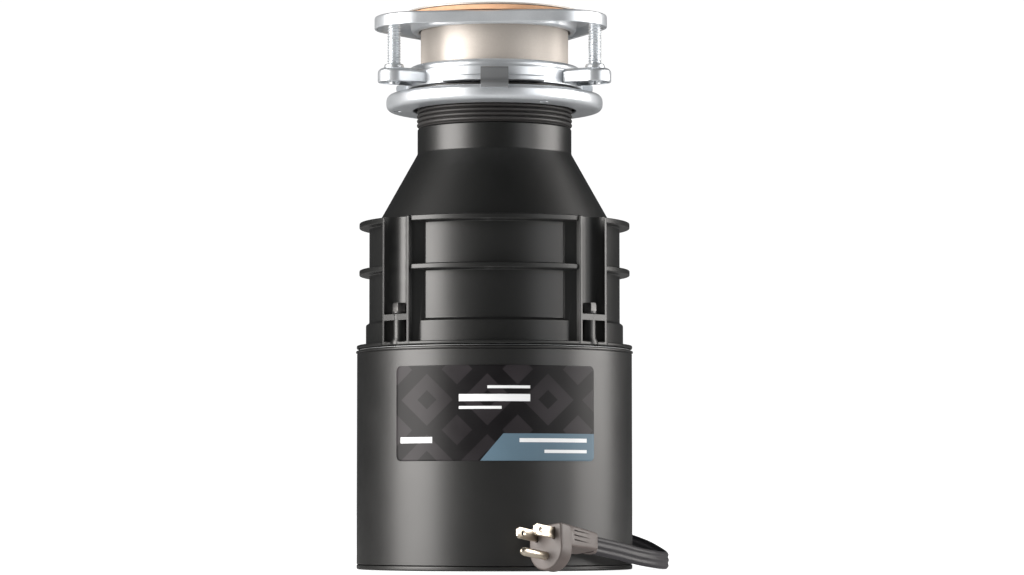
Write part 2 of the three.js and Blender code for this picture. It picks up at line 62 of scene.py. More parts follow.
def high(node):
    """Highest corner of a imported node, in millimetres."""
    return np.array(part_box(node)[1]) / MM


# ---- Driving sizes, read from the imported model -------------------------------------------
CAN_RADIUS = high("base_cap")[0]
RIM_RADIUS = high("motor_shell")[0]
CAN_LOW = low("motor_shell")[2]
CAN_HIGH = high("motor_shell")[2]
CHAMBER_LOW = low("grind_chamber")[2]
CHAMBER_HIGH = high("grind_chamber")[2]
FLANGE_RADIUS = high("grind_chamber")[0]
DRUM_RADIUS = 73.0
RIB_RADIUS = 78.8
CONE_LOW = 200.8
NECK_RADIUS = 45.0
NECK_LOW = 241.3
NECK_HIGH = low("cushion_mount")[2] - 0.3
BOLT_CIRCLE = 75.8
CHANNEL_CENTRE = 80.6
CHANNEL_RADIUS = 9.3
SHELF = 145.0
EAR_CIRCLE = high("mounting_ring")[1] - 9.4
SCREW_LOW = low("mounting_screw_1")[2]
SCREW_HIGH = high("mounting_screw_1")[2]
BACKUP_LOW = low("backup_flange")[2]
BACKUP_HIGH = high("backup_flange")[2]
RING_LOW = 278.6
RING_HIGH = high("mounting_ring")[2]
LOCK_LOW = low("lower_mounting_ring")[2]
EAR_ANGLES = (90, 210, 330)
TAB_ANGLES = (30, 150, 270)
SOCKET_ANGLES = (60, 180, 300)
SOCKET_CIRCLE = 56.9
BOLT_ANGLES = (45, 135, 225, 315)


# ---- Camera ----------------------------------------------------------------------------
VIEW_DISTANCE = 2020.0
VIEW_HEIGHT = 36.0
FRAME_WIDTH = 599.2      # width of the picture at the motor axis
FRAME_CENTRE = 164.1     # height at the middle of the picture
LENS_TRIM = 1.003        # slightly longer than the frame's width alone asks for
SHIFT = (0.0171, -0.0007)
SENSOR = 36.0


def make_camera():
    """A camera low in front of the label, tilted up at the middle of the object."""
    data = bpy.data.cameras.new("camera")
    data.sensor_width = SENSOR
    rise = FRAME_CENTRE - VIEW_HEIGHT
    data.lens = LENS_TRIM * SENSOR * math.hypot(VIEW_DISTANCE, rise) / FRAME_WIDTH
    data.shift_x, data.shift_y = SHIFT
    data.clip_end = 50
    camera = bpy.data.objects.new("camera", data)
    camera.location = (0, -VIEW_DISTANCE * MM, VIEW_HEIGHT * MM)
    camera.rotation_euler = (math.pi / 2 + math.atan2(rise, VIEW_DISTANCE), 0, 0)
    bpy.context.scene.collection.objects.link(camera)
    bpy.context.scene.camera = camera


make_camera()


# ---- Mesh helpers -------------------------------------------------------------------------
def skin(points, wrap_u=False, wrap_v=True, caps=False):
    """Vertices and faces of a grid of points; caps closes the two end rows with fans."""
    rows, columns = points.shape[:2]
    index = np.arange(rows * columns).reshape(rows, columns)
    a, b = index, np.roll(index, -1, axis=1)
    c, d = np.roll(b, -1, axis=0), np.roll(index, -1, axis=0)
    quads = np.stack([a, b, c, d], axis=-1)
    quads = quads if wrap_u else quads[:-1]
    quads = quads if wrap_v else quads[:, :-1]
    vertices = points.reshape(-1, 3)
    faces = quads.reshape(-1, 4).tolist()
    if caps:
        middle = np.stack([points[0].mean(axis=0), points[-1].mean(axis=0)])
        first, last = len(vertices), len(vertices) + 1
        vertices = np.concatenate([vertices, middle])
        start = np.stack([np.full(columns, first), np.roll(index[0], -1), index[0]], axis=-1)
        end = np.stack([np.full(columns, last), index[-1], np.roll(index[-1], -1)], axis=-1)
        faces = faces + start.tolist() + end.tolist()
    return vertices, faces


def volume(vertices, faces):
    """Signed volume inside closed faces, a sum of tetrahedra from the origin."""
    fans = [(f[0], f[k], f[k + 1]) for f in faces for k in range(1, len(f) - 1)]
    a, b, c = vertices[np.array(fans)].transpose(1, 0, 2)
    return np.einsum("ij,ij->", a, np.cross(b, c)) / 6


def make(name, *shells, sharp=38):
    """One mesh object from closed shells of vertices and faces, smooth up to the sharp angle."""
    all_vertices, all_faces, offset = [], [], 0
    for vertices, faces in shells:
        if volume(vertices, faces) < 0:
            faces = [f[::-1] for f in faces]
        all_vertices.append(vertices)
        all_faces += [[i + offset for i in f] for f in faces]
        offset += len(vertices)
    mesh = bpy.data.meshes.new(name)
    mesh.from_pydata((np.concatenate(all_vertices) * MM).tolist(), [], all_faces)
    piece = bpy.data.objects.new(name, mesh)
    bpy.context.scene.collection.objects.link(piece)
    smooth(mesh, sharp)
    return piece


def smooth(mesh, sharp):
    """Smooth shading, broken where two faces meet at more than the sharp angle in degrees."""
    mesh.polygons.foreach_set("use_smooth", np.ones(len(mesh.polygons), bool))
    mesh.set_sharp_from_angle(angle=math.radians(sharp))
    mesh.update()


def combine(piece, operation, *tools, sharp=38):
    """Joins tools to the piece or cuts them out of it, and removes the tools."""
    for tool in tools:
        change = piece.modifiers.new(tool.name, "BOOLEAN")
        change.operation = operation
        change.solver = "MANIFOLD"
        change.object = tool
    bpy.context.view_layer.update()
    shaped = piece.evaluated_get(bpy.context.evaluated_depsgraph_get())
    mesh = bpy.data.meshes.new_from_object(shaped)
    old = piece.data
    piece.modifiers.clear()
    piece.data = mesh
    mesh.name = piece.name
    bpy.data.meshes.remove(old)
    for tool in tools:
        bpy.data.meshes.remove(tool.data)
    smooth(mesh, sharp)
    return piece


EASE_SHARE = 0.42        # a corner's curve takes at most this share of either side
LEAD_REACH = 1.15        # a point this many times the ease away keeps the side beside it flat
STEP_SPAN = 6.0          # the longest straight step in a revolved profile


def rounded(outline, radius, steps=5):
    """Corners of a closed outline eased by a quadratic curve that starts at most radius away."""
    corner = np.array(outline, float)
    before, after = np.roll(corner, 1, axis=0), np.roll(corner, -1, axis=0)
    reach_in = np.linalg.norm(before - corner, axis=1, keepdims=True)
    reach_out = np.linalg.norm(after - corner, axis=1, keepdims=True)
    ease = np.minimum(np.minimum(radius, EASE_SHARE * reach_in), EASE_SHARE * reach_out)
    start = corner + (before - corner) / reach_in * ease
    end = corner + (after - corner) / reach_out * ease
    t = np.linspace(0, 1, steps + 1)[None, :, None]
    curve = (1 - t) ** 2 * start[:, None] + 2 * t * (1 - t) * corner[:, None] + t**2 * end[:, None]
    lead_in = corner + (before - corner) / reach_in * ease * LEAD_REACH
    lead_out = corner + (after - corner) / reach_out * ease * LEAD_REACH
    return np.concatenate([lead_in[:, None], curve, lead_out[:, None]], axis=1).reshape(-1, 2)


def stepped(profile, span):
    """A closed profile with points added along any straight step longer than span."""
    parts = []
    for start, end in zip(profile, np.roll(profile, -1, axis=0)):
        count = max(int(np.linalg.norm(end - start) // span), 1)
        parts.append(start + (end - start) * (np.arange(count) / count)[:, None])
    return np.concatenate(parts)


def revolve(outline, radius=0.5, steps=160, ease_steps=5):
    """A closed outline of (radius, height) points turned round Z, its corners eased."""
    profile = stepped(rounded(outline, radius, ease_steps), STEP_SPAN)
    angle = np.linspace(0, 2 * math.pi, steps, endpoint=False)
    r, z = profile[:, :1], profile[:, 1:]
    points = np.stack([r * np.cos(angle), r * np.sin(angle), z + 0 * angle], axis=-1)
    return skin(points, wrap_u=True)


def directions(steps):
    """Unit vectors all round, turned by 1e-4 so that none is level with two circles at once."""
    angle = np.linspace(0, 2 * math.pi, steps, endpoint=False) + 1e-4
    return np.stack([np.cos(angle), np.sin(angle)], axis=-1)


def hull(circles, inset=0.0, steps=96):
    """Outline of a taut band round circles (x, y, r), shrunk by inset.

    In each direction the outline touches the circle that reaches furthest that way.
    """
    ring = np.array(circles, float)
    way = directions(steps)
    reach = way @ ring[:, :2].T + ring[:, 2]
    chosen = ring[reach.argmax(axis=1)]
    return chosen[:, :2] + way * np.maximum(chosen[:, 2:] - inset, 0.05)


def loft(circles, stations, steps=96):
    """A solid whose level sections are hull outlines: stations are (height, inset) pairs."""
    rows = [np.column_stack([hull(circles, inset, steps), np.full(steps, height)])
            for height, inset in stations]
    return skin(np.stack(rows), caps=True)


def drilled(name, x, y, radius, bottom, top, steps, angle=0.0):
    """An upright cylinder to cut with, turned round Z to its place."""
    return make(name, spun(loft([(x, y, radius)], [(bottom, 0), (top, 0)], steps), angle))


def soft_ends(bottom, top, ease, steps=4):
    """Stations of a block whose top and bottom edges are quarter rounds of radius ease."""
    quarter = np.linspace(0, math.pi / 2, steps + 1)
    lower = [(bottom + ease * (1 - math.sin(q)), ease * (1 - math.cos(q))) for q in quarter[::-1]]
    upper = [(top - ease * (1 - math.sin(q)), ease * (1 - math.cos(q))) for q in quarter]
    return lower + upper


def box_circles(x, y, width, depth, corner):
    """Four corner circles of a rounded rectangle about (x, y)."""
    dx, dy = width / 2 - corner, depth / 2 - corner
    return [(x + sx * dx, y + sy * dy, corner) for sx in (-1, 1) for sy in (-1, 1)]


def turn_matrix(degrees):
    """The matrix that turns rows of points round Z when it multiplies them from the right."""
    a = math.radians(degrees)
    return np.array([[math.cos(a), math.sin(a), 0], [-math.sin(a), math.cos(a), 0], [0, 0, 1]])


def spun(shell, degrees):
    """A shell turned round Z."""
    return shell[0] @ turn_matrix(degrees), shell[1]


def shifted(shell, x=0.0, y=0.0, z=0.0):
    """A shell with the same offset added to every point."""
    return shell[0] + np.array([x, y, z]), shell[1]


def toward_y(shell):
    """A shell whose height axis Z is laid along +Y, with its own Y pointing up."""
    x, y, z = shell[0].T
    return np.stack([-x, z, y], axis=-1), shell[1]


def thread(radius, depth, pitch, bottom, top, sides=28, turn_steps=8):
    """A threaded rod: radius minus a triangular groove that climbs one pitch each turn."""
    rows = int((top - bottom) / pitch * turn_steps)
    z = np.linspace(bottom, top, rows)[:, None]
    angle = np.linspace(0, 2 * math.pi, sides, endpoint=False)[None, :]
    phase = (z / pitch - angle / (2 * math.pi)) % 1.0
    groove = np.abs(2 * phase - 1)
    ends = np.clip(np.minimum(z - bottom, top - z) / pitch, 0, 1)
    r = radius - depth * (1 - ends * (1 - groove))
    return skin(np.stack([r * np.cos(angle), r * np.sin(angle), z + 0 * angle], axis=-1), caps=True)


# ---- Supply cord: exit, coil behind the can, and the lead to the plug -----------------------
CORD_WIDTH = 10.0
CORD_THICK = 4.0
EXIT_ANGLE = 110
RELIEF_TIP = 105.0
EXIT_HEIGHT = 16.6
COIL_CENTRE = np.array([3.5, 171.6])
COIL_START = 200
COIL_SWEEP = 486.7
COIL_RADIUS = 62.2
COIL_SHRINK = 4.6        # how much the radius loses in a full turn
COIL_LEAST = 57.2
COIL_HEIGHT = 5.15
LIFT_START = 395         # sweep at which the coil begins to climb over its first turn
LIFT_SWEEP = 85
LIFT = 10.5
TAIL_HEIGHTS = [(0, 16.6), (6, 16.6), (17, 15.0), (29, 11.4), (42, 7.2)]
LEAD = [
    (20, 226.6, 15.6), (34, 221, 16), (50, 209, 16), (64, 192, 16), (74, 170, 15.8),
    (80, 142, 15.4), (82, 112, 14.9), (83, 85, 14.2), (86, 60, 13), (91.5, 38, 10.6), (97, 16, 7.2),
    (99, -5, 5.4), (97, -23, 5.3), (91, -39, 6.2), (81, -52, 8.2), (69, -63, 11.4),
    (55.6, -74.4, 14.5),
]


def polar(radius, degrees):
    """The point (x, y) at a radius and an angle about the origin."""
    a = math.radians(degrees)
    return np.array([radius * math.cos(a), radius * math.sin(a)])


def smooth_path(points, spacing):
    """Points every spacing along a centripetal Catmull-Rom curve through the given points."""
    p = np.array(points, float)
    p = np.concatenate([2 * p[:1] - p[1:2], p, 2 * p[-1:] - p[-2:-1]])
    knot = np.sqrt(np.linalg.norm(np.diff(p, axis=0), axis=1))[:, None]
    p0, p1, p2, p3 = p[:-3], p[1:-2], p[2:-1], p[3:]
    d0, d1, d2 = knot[:-2], knot[1:-1], knot[2:]
    t1 = ((p1 - p0) / d0 - (p2 - p0) / (d0 + d1) + (p2 - p1) / d1) * d1
    t2 = ((p2 - p1) / d1 - (p3 - p1) / (d1 + d2) + (p3 - p2) / d2) * d1
    u = np.linspace(0, 1, 24, endpoint=False)[None, :, None]
    p1, p2, t1, t2 = p1[:, None], p2[:, None], t1[:, None], t2[:, None]
    curve = p1 + t1 * u + (3 * (p2 - p1) - 2 * t1 - t2) * u**2 + (2 * (p1 - p2) + t1 + t2) * u**3
    curve = np.concatenate([curve.reshape(-1, 3), p[-2:-1]])
    run = np.concatenate([[0], np.linalg.norm(np.diff(curve, axis=0), axis=1).cumsum()])
    marks = np.linspace(0, run[-1], int(run[-1] / spacing) + 1)
    return np.stack([np.interp(marks, run, curve[:, k]) for k in range(3)], axis=-1)


def cord_route():
    """The tail drops to the floor, winds clockwise into the coil, then rises into the lead.

    The coil's radius falls in proportion to the sweep, down to a least radius. Its height climbs
    by three times the square less twice the cube of the share of the lift that is done.
    """
    tail = [(*polar(RELIEF_TIP + reach, EXIT_ANGLE), height) for reach, height in TAIL_HEIGHTS]
    sweep = np.arange(0, COIL_SWEEP - 8, 15.0)
    angle = np.radians(COIL_START - sweep)
    radius = np.maximum(COIL_RADIUS - COIL_SHRINK * sweep / 360, COIL_LEAST)
    rise = np.clip((sweep - LIFT_START) / LIFT_SWEEP, 0, 1)
    height = COIL_HEIGHT + LIFT * rise**2 * (3 - 2 * rise)
    coil = np.stack([COIL_CENTRE[0] + radius * np.cos(angle),
                     COIL_CENTRE[1] + radius * np.sin(angle), height], axis=-1)
    return smooth_path(tail + [tuple(p) for p in coil] + LEAD, 2.5)


def cord_shell(route):
    """The cord's section, a flat oval pinched twice into three ridges, carried on edge."""
    along = np.gradient(route, axis=0)
    along /= np.linalg.norm(along, axis=1, keepdims=True)
    side = np.cross(along, [0.0, 0.0, 1.0])
    side /= np.linalg.norm(side, axis=1, keepdims=True)
    upright = np.cross(side, along)
    u = np.linspace(0, 2 * math.pi, 48, endpoint=False)
    width = CORD_WIDTH / 2 * np.sign(np.cos(u)) * np.abs(np.cos(u)) ** 0.9
    bulge = 0.86 + 0.14 * np.cos(2 * math.pi * width / (CORD_WIDTH / 3))
    thick = CORD_THICK / 2 * np.sign(np.sin(u)) * np.abs(np.sin(u)) ** 0.55 * bulge
    section = width[:, None] * upright[:, None] + thick[:, None] * side[:, None]
    return skin(route[:, None] + section, caps=True)


route = cord_route()
cord = make("supply_cord", cord_shell(route), sharp=60)
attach(cord, "housing")
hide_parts("cord_tail", "cord_coil", "cord_lead")


def strain_relief():
    """A boot that tapers from a flange to the cord in rings, turned round the cord's axis.

    Ring k starts 3.9 further out than the last and 0.36 slimmer; each is a shallow step.
    """
    steps = []
    for k in range(5):
        reach = 84.5 + 3.9 * k
        radius = 8.0 - 0.36 * k
        steps += [(radius, reach), (radius - 0.3, reach + 2.6), (radius - 1.3, reach + 2.8),
                  (radius - 1.4, reach + 3.7)]
    outline = [(0.2, 77), (6.6, 77), (6.6, 80.2), (8.4, 80.2), (8.4, 83.5), (7.0, 84.2), *steps,
               (5.6, RELIEF_TIP), (0.2, RELIEF_TIP)]
    shell = toward_y(revolve(outline, 0.35, steps=48, ease_steps=3))
    return make("strain_relief_boot", shifted(spun(shell, EXIT_ANGLE - 90), z=EXIT_HEIGHT))


relief = strain_relief()
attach(relief, "housing")
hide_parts("strain_relief")

# ---- Plug: its own frame has x towards the prongs, y across the blades, z up ----------------
PLUG_PLACE = np.array([28.0, -105.0, 14.6])
PRONG_AXIS = np.array([-0.68, -0.72, 0.15])
PRONG_AXIS /= np.linalg.norm(PRONG_AXIS)
ACROSS_AXIS = np.array([0.7, -0.66, 0.16])
ACROSS_AXIS -= PRONG_AXIS * (ACROSS_AXIS @ PRONG_AXIS)
ACROSS_AXIS /= np.linalg.norm(ACROSS_AXIS)
UP_AXIS = np.cross(PRONG_AXIS, ACROSS_AXIS)
BLADE_LEVEL = 6.2
BLADE_SPACING = 12.7
GROUND_DROP = 11.9


def on_plug(shell):
    """A shell from the plug's own frame."""
    return PLUG_PLACE + shell[0] @ np.stack([PRONG_AXIS, ACROSS_AXIS, UP_AXIS]), shell[1]


def forward(shell):
    """A loft whose height runs along the plug's x and whose outline lies across it."""
    x, y, z = shell[0].T
    return np.stack([z, x, y], axis=-1), shell[1]


def taper(sections, steps=72):
    """A solid through outlines: sections are (height, circles)."""
    rows = [np.column_stack([hull(circles, 0.0, steps), np.full(steps, height)])
            for height, circles in sections]
    return skin(np.stack(rows), caps=True)


def plug_body():
    """A D-shaped face, a waist that narrows towards the cord, and a short boot.

    Each is a run of hull outlines along the plug's x; finger grooves and blade slots are cut out.
    """
    face = loft([(0, -1.5, 12), (-9.6, 9.6, 2), (9.6, 9.6, 2)], soft_ends(-9, 0, 1.0))
    profile = [(-35.0, 15.2, 9.0, 6.2), (-34.6, 16.4, 9.8, 6.2), (-33.6, 17.0, 10.2, 6.2),
               (-24.0, 19.0, 10.9, 6.0), (-12.0, 21.8, 12.0, 5.5), (-1.6, 24.2, 13.0, 5.1),
               (-0.7, 23.6, 12.4, 5.1)]
    waist = taper([(x, box_circles(0, level, w, h, 1.5)) for x, w, h, level in profile])
    boot = taper([(x, box_circles(0, BLADE_LEVEL, w, 10.2, 1.4))
                  for x, w in ((-40.0, 5.4), (-39.6, 6.4), (-37.4, 8.4), (-36.0, 8.8))])
    shapes = [make(name, on_plug(forward(shell))) for name, shell in
              (("moulded_plug", face), ("plug_waist", waist), ("plug_boot", boot))]
    body = combine(shapes[0], "UNION", *shapes[1:])
    grooves = [make("groove", on_plug(forward(loft(
        box_circles(side * 11.4, BLADE_LEVEL + level, 4.6, 0.8, 0.35), soft_ends(-32, -12, 0.3)))))
        for side in (-1, 1) for level in (-2.6, 0, 2.6)]
    blade_slots = [make("blade_slot", on_plug(forward(loft(
        box_circles(side * BLADE_SPACING / 2, BLADE_LEVEL, 2.0, 7.0, 0.6),
        soft_ends(-2, 3, 0.2))))) for side in (-1, 1)]
    return combine(body, "DIFFERENCE", *grooves, *blade_slots, sharp=32)


def plug_blade(name, side):
    """A flat blade with clipped corners, the hull of six points, and a round eye near its tip."""
    outline = [(-2.7, -2.9, 0.2), (-2.7, 2.9, 0.2), (14.6, -2.8, 0.35), (14.6, 2.8, 0.35),
               (15.75, -1.7, 0.35), (15.75, 1.7, 0.35)]
    blade = loft(outline, soft_ends(-0.75, 0.75, 0.22, 3))
    eye = loft([(11.5, 0, 1.7)], [(-2, 0), (2, 0)], steps=32)
    shells = []
    for shell in (blade, eye):
        x, y, z = shell[0].T
        upright = np.stack([x, -z + side * BLADE_SPACING / 2, y + BLADE_LEVEL], axis=-1)
        shells.append(on_plug((upright, shell[1])))
    return combine(make(name, shells[0]), "DIFFERENCE", make("eye", shells[1]))


def ground_pin():
    """A round pin: a circle carried along the plug's x and drawn in to a blunt nose."""
    stations = [(-2.5, 0.0), (16.6, 0.0), (18.0, 0.25), (19.2, 0.8), (19.9, 1.5), (20.15, 2.1)]
    shell = loft([(0, BLADE_LEVEL - GROUND_DROP, 2.375)], stations, steps=40)
    return make("ground_pin", on_plug(forward(shell)), sharp=70)


plug_pieces = [plug_body(), plug_blade("blade_left", -1), plug_blade("blade_right", 1),
               ground_pin()]
plug_nodes = ["plug_body", "plug_blade_left", "plug_blade_right", "plug_ground_pin"]
plug_slots = ["plug_vinyl", "nickel", "nickel", "nickel"]
for piece, plug_node, plug_slot in zip(plug_pieces, plug_nodes, plug_slots):
    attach(piece, "housing")
    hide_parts(plug_node)


# ---- Sink mounting ------------------------------------------------------------------------
def sink_flange():
    """A drawn sleeve with a thin lip that turns out over the gasket, one profile turned round Z."""
    top, sleeve = high("sink_flange")[2], 43.15
    lip = high("sink_flange")[0]
    return make("sink_sleeve", revolve([
        (sleeve - 1, low("sink_flange")[2]), (sleeve, low("sink_flange")[2]), (sleeve, top - 1),
        (lip, top - 1), (lip, top), (44.6, top), (sleeve - 1, top - 2.5)], 0.4, steps=192))


def fiber_gasket():
    """A flat ring: a rectangle of radius and height turned round Z."""
    bottom, top = low("fiber_gasket")[2], high("fiber_gasket")[2]
    outer = high("fiber_gasket")[0]
    return make("pressed_gasket", revolve([(44, bottom), (outer, bottom), (outer, top), (44, top)],
                                          0.5, steps=160))


def backup_flange():
    """A rounded triangle blended into a round bore.

    The section's outline is (distance in from the edge, height). Up to the wall's thickness the
    distance shrinks the triangle; past it, the outline moves from the shrunk triangle to the
    bore's circle in the same direction, in proportion to what is left of the section's width.
    """
    lobes = [(*polar(44, angle - 6), 29.5) for angle in EAR_ANGLES]
    bottom, top = BACKUP_LOW, BACKUP_HIGH
    width, wall, bore_radius, steps = 25.0, 2.5, 44.2, 240
    section = [(0, bottom), (0, top), (width, top), (width, bottom), (0.84 * width, bottom),
               (0.80 * width, top - 2.0), (2.4, top - 2.2), (1.3, bottom)]
    bore = bore_radius * directions(steps)
    rows = []
    for across, height in rounded(section, 1.5):
        share = max(across - wall, 0) / (width - wall)
        triangle = hull(lobes, min(max(across, 0.0), wall), steps)
        outline = (1 - share) * triangle + share * bore
        rows.append(np.column_stack([outline, np.full(steps, height)]))
    return make("clamp_flange", skin(np.stack(rows), wrap_u=True), sharp=50)


def mounting_ring():
    """A collar with a rolled top, three hollow ears, their thread collars and three ramps.

    The collar and the thread collars are turned profiles, an ear is a hull of two circles lofted
    upwards, and a ramp is a section carried along an arc.
    """
    collar = make("mounting_collar", revolve([
        (44.7, 287.2), (44.7, 290.2), (46.6, RING_HIGH), (49.0, RING_HIGH), (50.6, 290.4),
        (50.9, 288.6), (51.5, 287.4), (51.5, RING_LOW), (47.7, RING_LOW), (47.7, 287.2)],
        0.9, steps=192))
    band = [(49, 0, 9.4), (EAR_CIRCLE, 0, 9.4)]
    bottom, top = 279.8, 288.0
    hollow = [(top - 2.4, 9.0), (top - 2.4, 2.4), (bottom + 0.3, 1.6), (bottom, 1.3), (bottom, 0.4),
              (bottom + 0.5, 0.0)]
    crown = [(z, inset) for z, inset in soft_ends(bottom, top, 3.0, 8) if z > top - 3.1]
    ear = loft(band, [*hollow, *crown, (top, 9.0)], steps=120)
    dome = revolve([(4.2, 281), (6.2, 281), (6.2, 287.5), (5.6, 289.6), (5.2, 290.4), (4.2, 290.4)],
                   0.5, steps=48, ease_steps=3)
    ring = combine(collar, "UNION", *[make("ear", spun(ear, angle)) for angle in EAR_ANGLES])
    bores = [drilled("bore", EAR_CIRCLE, 0, 4.4, 270, 300, 40, angle) for angle in EAR_ANGLES]
    ring = combine(ring, "DIFFERENCE", *bores)
    domes = [make("dome", spun(shifted(dome, x=EAR_CIRCLE), angle)) for angle in EAR_ANGLES]
    ramps = []
    for angle in TAB_ANGLES:
        sweep = np.radians(np.linspace(-32, 30, 40))[:, None]
        section = rounded([(50.5, RING_LOW + 0.1), (57.5, RING_LOW + 0.1), (57.5, 281.8),
                           (55.6, 282.4), (50.5, 282.4)], 0.9, 3)
        r, z = section[:, 0][None, :], section[:, 1][None, :]
        rows = np.stack([r * np.cos(sweep), r * np.sin(sweep), z + 0 * sweep], axis=-1)
        ramps.append(make("ramp", spun(skin(rows, caps=True), angle)))
    return combine(ring, "UNION", *domes, *ramps)


def lower_mounting_ring():
    """A dished ring with a rolled rim, three hooked tabs and three wrench sockets.

    The rim is a profile turned round Z. A tab is a hooked outline in radius and height, carried
    across its width and drawn in slightly at both ends.
    """
    rim = [(47.5, LOCK_LOW), (59.5, LOCK_LOW), (61.8, 267.2), (63.1, 268.8), (63.4, 271.4),
           (63.1, 274.0), (61.8, 275.6), (60.4, 275.9), (59.8, 275.2), (60.6, 273.4),
           (61.0, 271.2), (60.4, 269.2), (58.6, 268.6), (47.5, 268.6)]
    dish = make("lock_ring", revolve(rim, 1.2, steps=192))
    width = 7.9
    tab_line = rounded([(58.3, 268), (58.3, 282.9), (52.4, 282.9), (52.4, 286.0), (60.3, 286.0),
                        (60.8, 278.6), (63.4, 277.0), (64.0, 275.8), (64.0, 273.5), (62.3, 273.2),
                        (62.2, 268)], 1.3, 4)
    across = np.array([-width, 0.3 - width, width - 0.3, width])
    shrink = np.array([0.985, 1, 1, 0.985])
    middle = np.array([58.6, 277.0])
    rows = []
    for y, scale in zip(across, shrink):
        line = middle + (tab_line - middle) * scale
        rows.append(np.column_stack([line[:, 0], np.full(len(line), y), line[:, 1]]))
    tab = skin(np.stack(rows), caps=True)
    tabs = [make("tab", spun(tab, angle)) for angle in TAB_ANGLES]
    sockets = [make("socket", spun(loft([(SOCKET_CIRCLE, 0, 4.2)], soft_ends(267.6, 274.4, 0.6), 32),
                                   angle)) for angle in SOCKET_ANGLES]
    ring = combine(dish, "UNION", *tabs, *sockets)
    bores = [drilled("bore", SOCKET_CIRCLE, 0, 2.6, 260, 280, 32, angle)
             for angle in SOCKET_ANGLES]
    return combine(ring, "DIFFERENCE", *bores)


def mounting_screw(index):
    """A threaded rod with a plain round point on top and a driver slot cut in its lower end."""
    x, y = polar(EAR_CIRCLE, EAR_ANGLES[index])
    rod = thread(3.95, 0.75, 1.588, SCREW_LOW, SCREW_HIGH - 1.0, sides=36, turn_steps=10)
    tip = loft([(0, 0, 2.6)], soft_ends(SCREW_HIGH - 2, SCREW_HIGH, 0.5), 32)
    slot = loft(box_circles(0, 0, 1.4, 9, 0.2), [(SCREW_LOW - 1, 0), (SCREW_LOW + 1.8, 0)], 24)
    shells = [make(f"clamp_screw_{index + 1}", shifted(rod, x, y), sharp=80),
              make("tip", shifted(tip, x, y)), make("slot", shifted(slot, x, y))]
    screw = combine(shells[0], "UNION", shells[1], sharp=80)
    return combine(screw, "DIFFERENCE", shells[2], sharp=80)


def snap_ring():
    """A round wire ring with a gap in it, its section a circle carried round the sleeve."""
    angle = np.radians(np.linspace(8, 352, 120))[:, None]
    section = np.linspace(0, 2 * math.pi, 16, endpoint=False)[None, :]
    r = 44.9 + 1.25 * np.cos(section)
    z = 285.3 + 1.25 * np.sin(section) + 0 * angle
    return make("wire_snap_ring", skin(np.stack([r * np.cos(angle), r * np.sin(angle), z], -1),
                                       caps=True))


RIB_PITCH = 2.63


def cushion():
    """A rubber boot: a ribbed waist under a thick flange, with a lip that seals the sleeve.

    One profile turned round Z; its ribs repeat the same five points once each rib pitch.
    """
    ribs = []
    for k in range(4):
        groove = 257.0 + RIB_PITCH * k
        ribs += [(43.6, groove), (44.8, groove + 0.3), (45.4, groove + 0.9), (45.4, groove + 1.7),
                 (44.8, groove + RIB_PITCH - 0.3)]
    outline = [(42, 256.3), (44.6, 256.3), *ribs, (43.6, 268.4), (45.6, 269.0),
               (47.2, 269.4), (52.3, 269.6), (52.3, 278.2), (47.2, 278.2), (47.2, 280.6),
               (39.3, 280.6), (39.3, 263), (42, 263)]
    return make("ribbed_cushion", revolve(outline, 0.5, steps=192, ease_steps=3), sharp=60)


def splash_baffle():
    """A dished rubber disc turned round Z, cut into flaps by eight slits at equal angles."""
    disc = make("baffle_flaps", revolve([
        (14, 271.4), (36, 271.0), (38.7, 271.6), (38.7, 279), (36.4, 279), (35.6, 274.2),
        (30, 273.0), (14, 272.9)], 0.6, steps=144))
    slits = [make("slit", spun(loft(box_circles(21.5, 0, 17, 0.8, 0.3), [(268, 0), (276, 0)], 24),
                               45 * k)) for k in range(8)]
    return combine(disc, "DIFFERENCE", *slits)


# ---- Grind chamber and motor ----------------------------------------------------------------
def chamber_profile():
    """Outside from the motor flange up the ribbed drum and the cone, then back down inside."""
    return [
        (69.5, CHAMBER_LOW), (FLANGE_RADIUS, CHAMBER_LOW), (FLANGE_RADIUS, 129.4), (74.9, 129.4),
        (74.9, 141.2), (DRUM_RADIUS, 142.4), (DRUM_RADIUS, 169.8), (RIB_RADIUS, 170.1),
        (RIB_RADIUS, 173.2), (DRUM_RADIUS, 173.5), (DRUM_RADIUS, 197.3), (RIB_RADIUS, 197.6),
        (RIB_RADIUS, CONE_LOW), (67.6, CONE_LOW + 0.2), (46.4, 238.8), (NECK_RADIUS, NECK_LOW),
        (NECK_RADIUS, NECK_HIGH + 1.3), (41.6, NECK_HIGH + 1.3),
        (41.6, CHAMBER_HIGH), (38.4, CHAMBER_HIGH), (38.4, 245), (42, 241.3), (64.5, 200.4),
        (69.3, 196), (69.3, 167.7), (65, 167.7), (65, 164), (69.5, 164)]


def bolt_boss():
    """Two fins on a pad that blends into the drum, and a column for the bolt between them."""
    stations = [(128, 0), (CONE_LOW - 0.5, 0), (CONE_LOW, 0.4)]
    fins = make("boss", loft(box_circles(73.55, 0, 12.1, 22, 0.5), stations, 64))
    pad = make("pad", loft([(68.4, -15.6, 0.4), (71.6, -15.6, 0.4), (78.2, -9, 0.4), (78.2, 9, 0.4),
                            (71.6, 15.6, 0.4), (68.4, 15.6, 0.4)], stations, 64))
    body = combine(fins, "UNION", pad)
    flare = [(128, -1.3), (129.6, -1.2), (131, -0.3), (133, 0), (SHELF, 0)]
    column = make("column", loft([(BOLT_CIRCLE, 0, 3.9)], flare, 40))
    return body, column


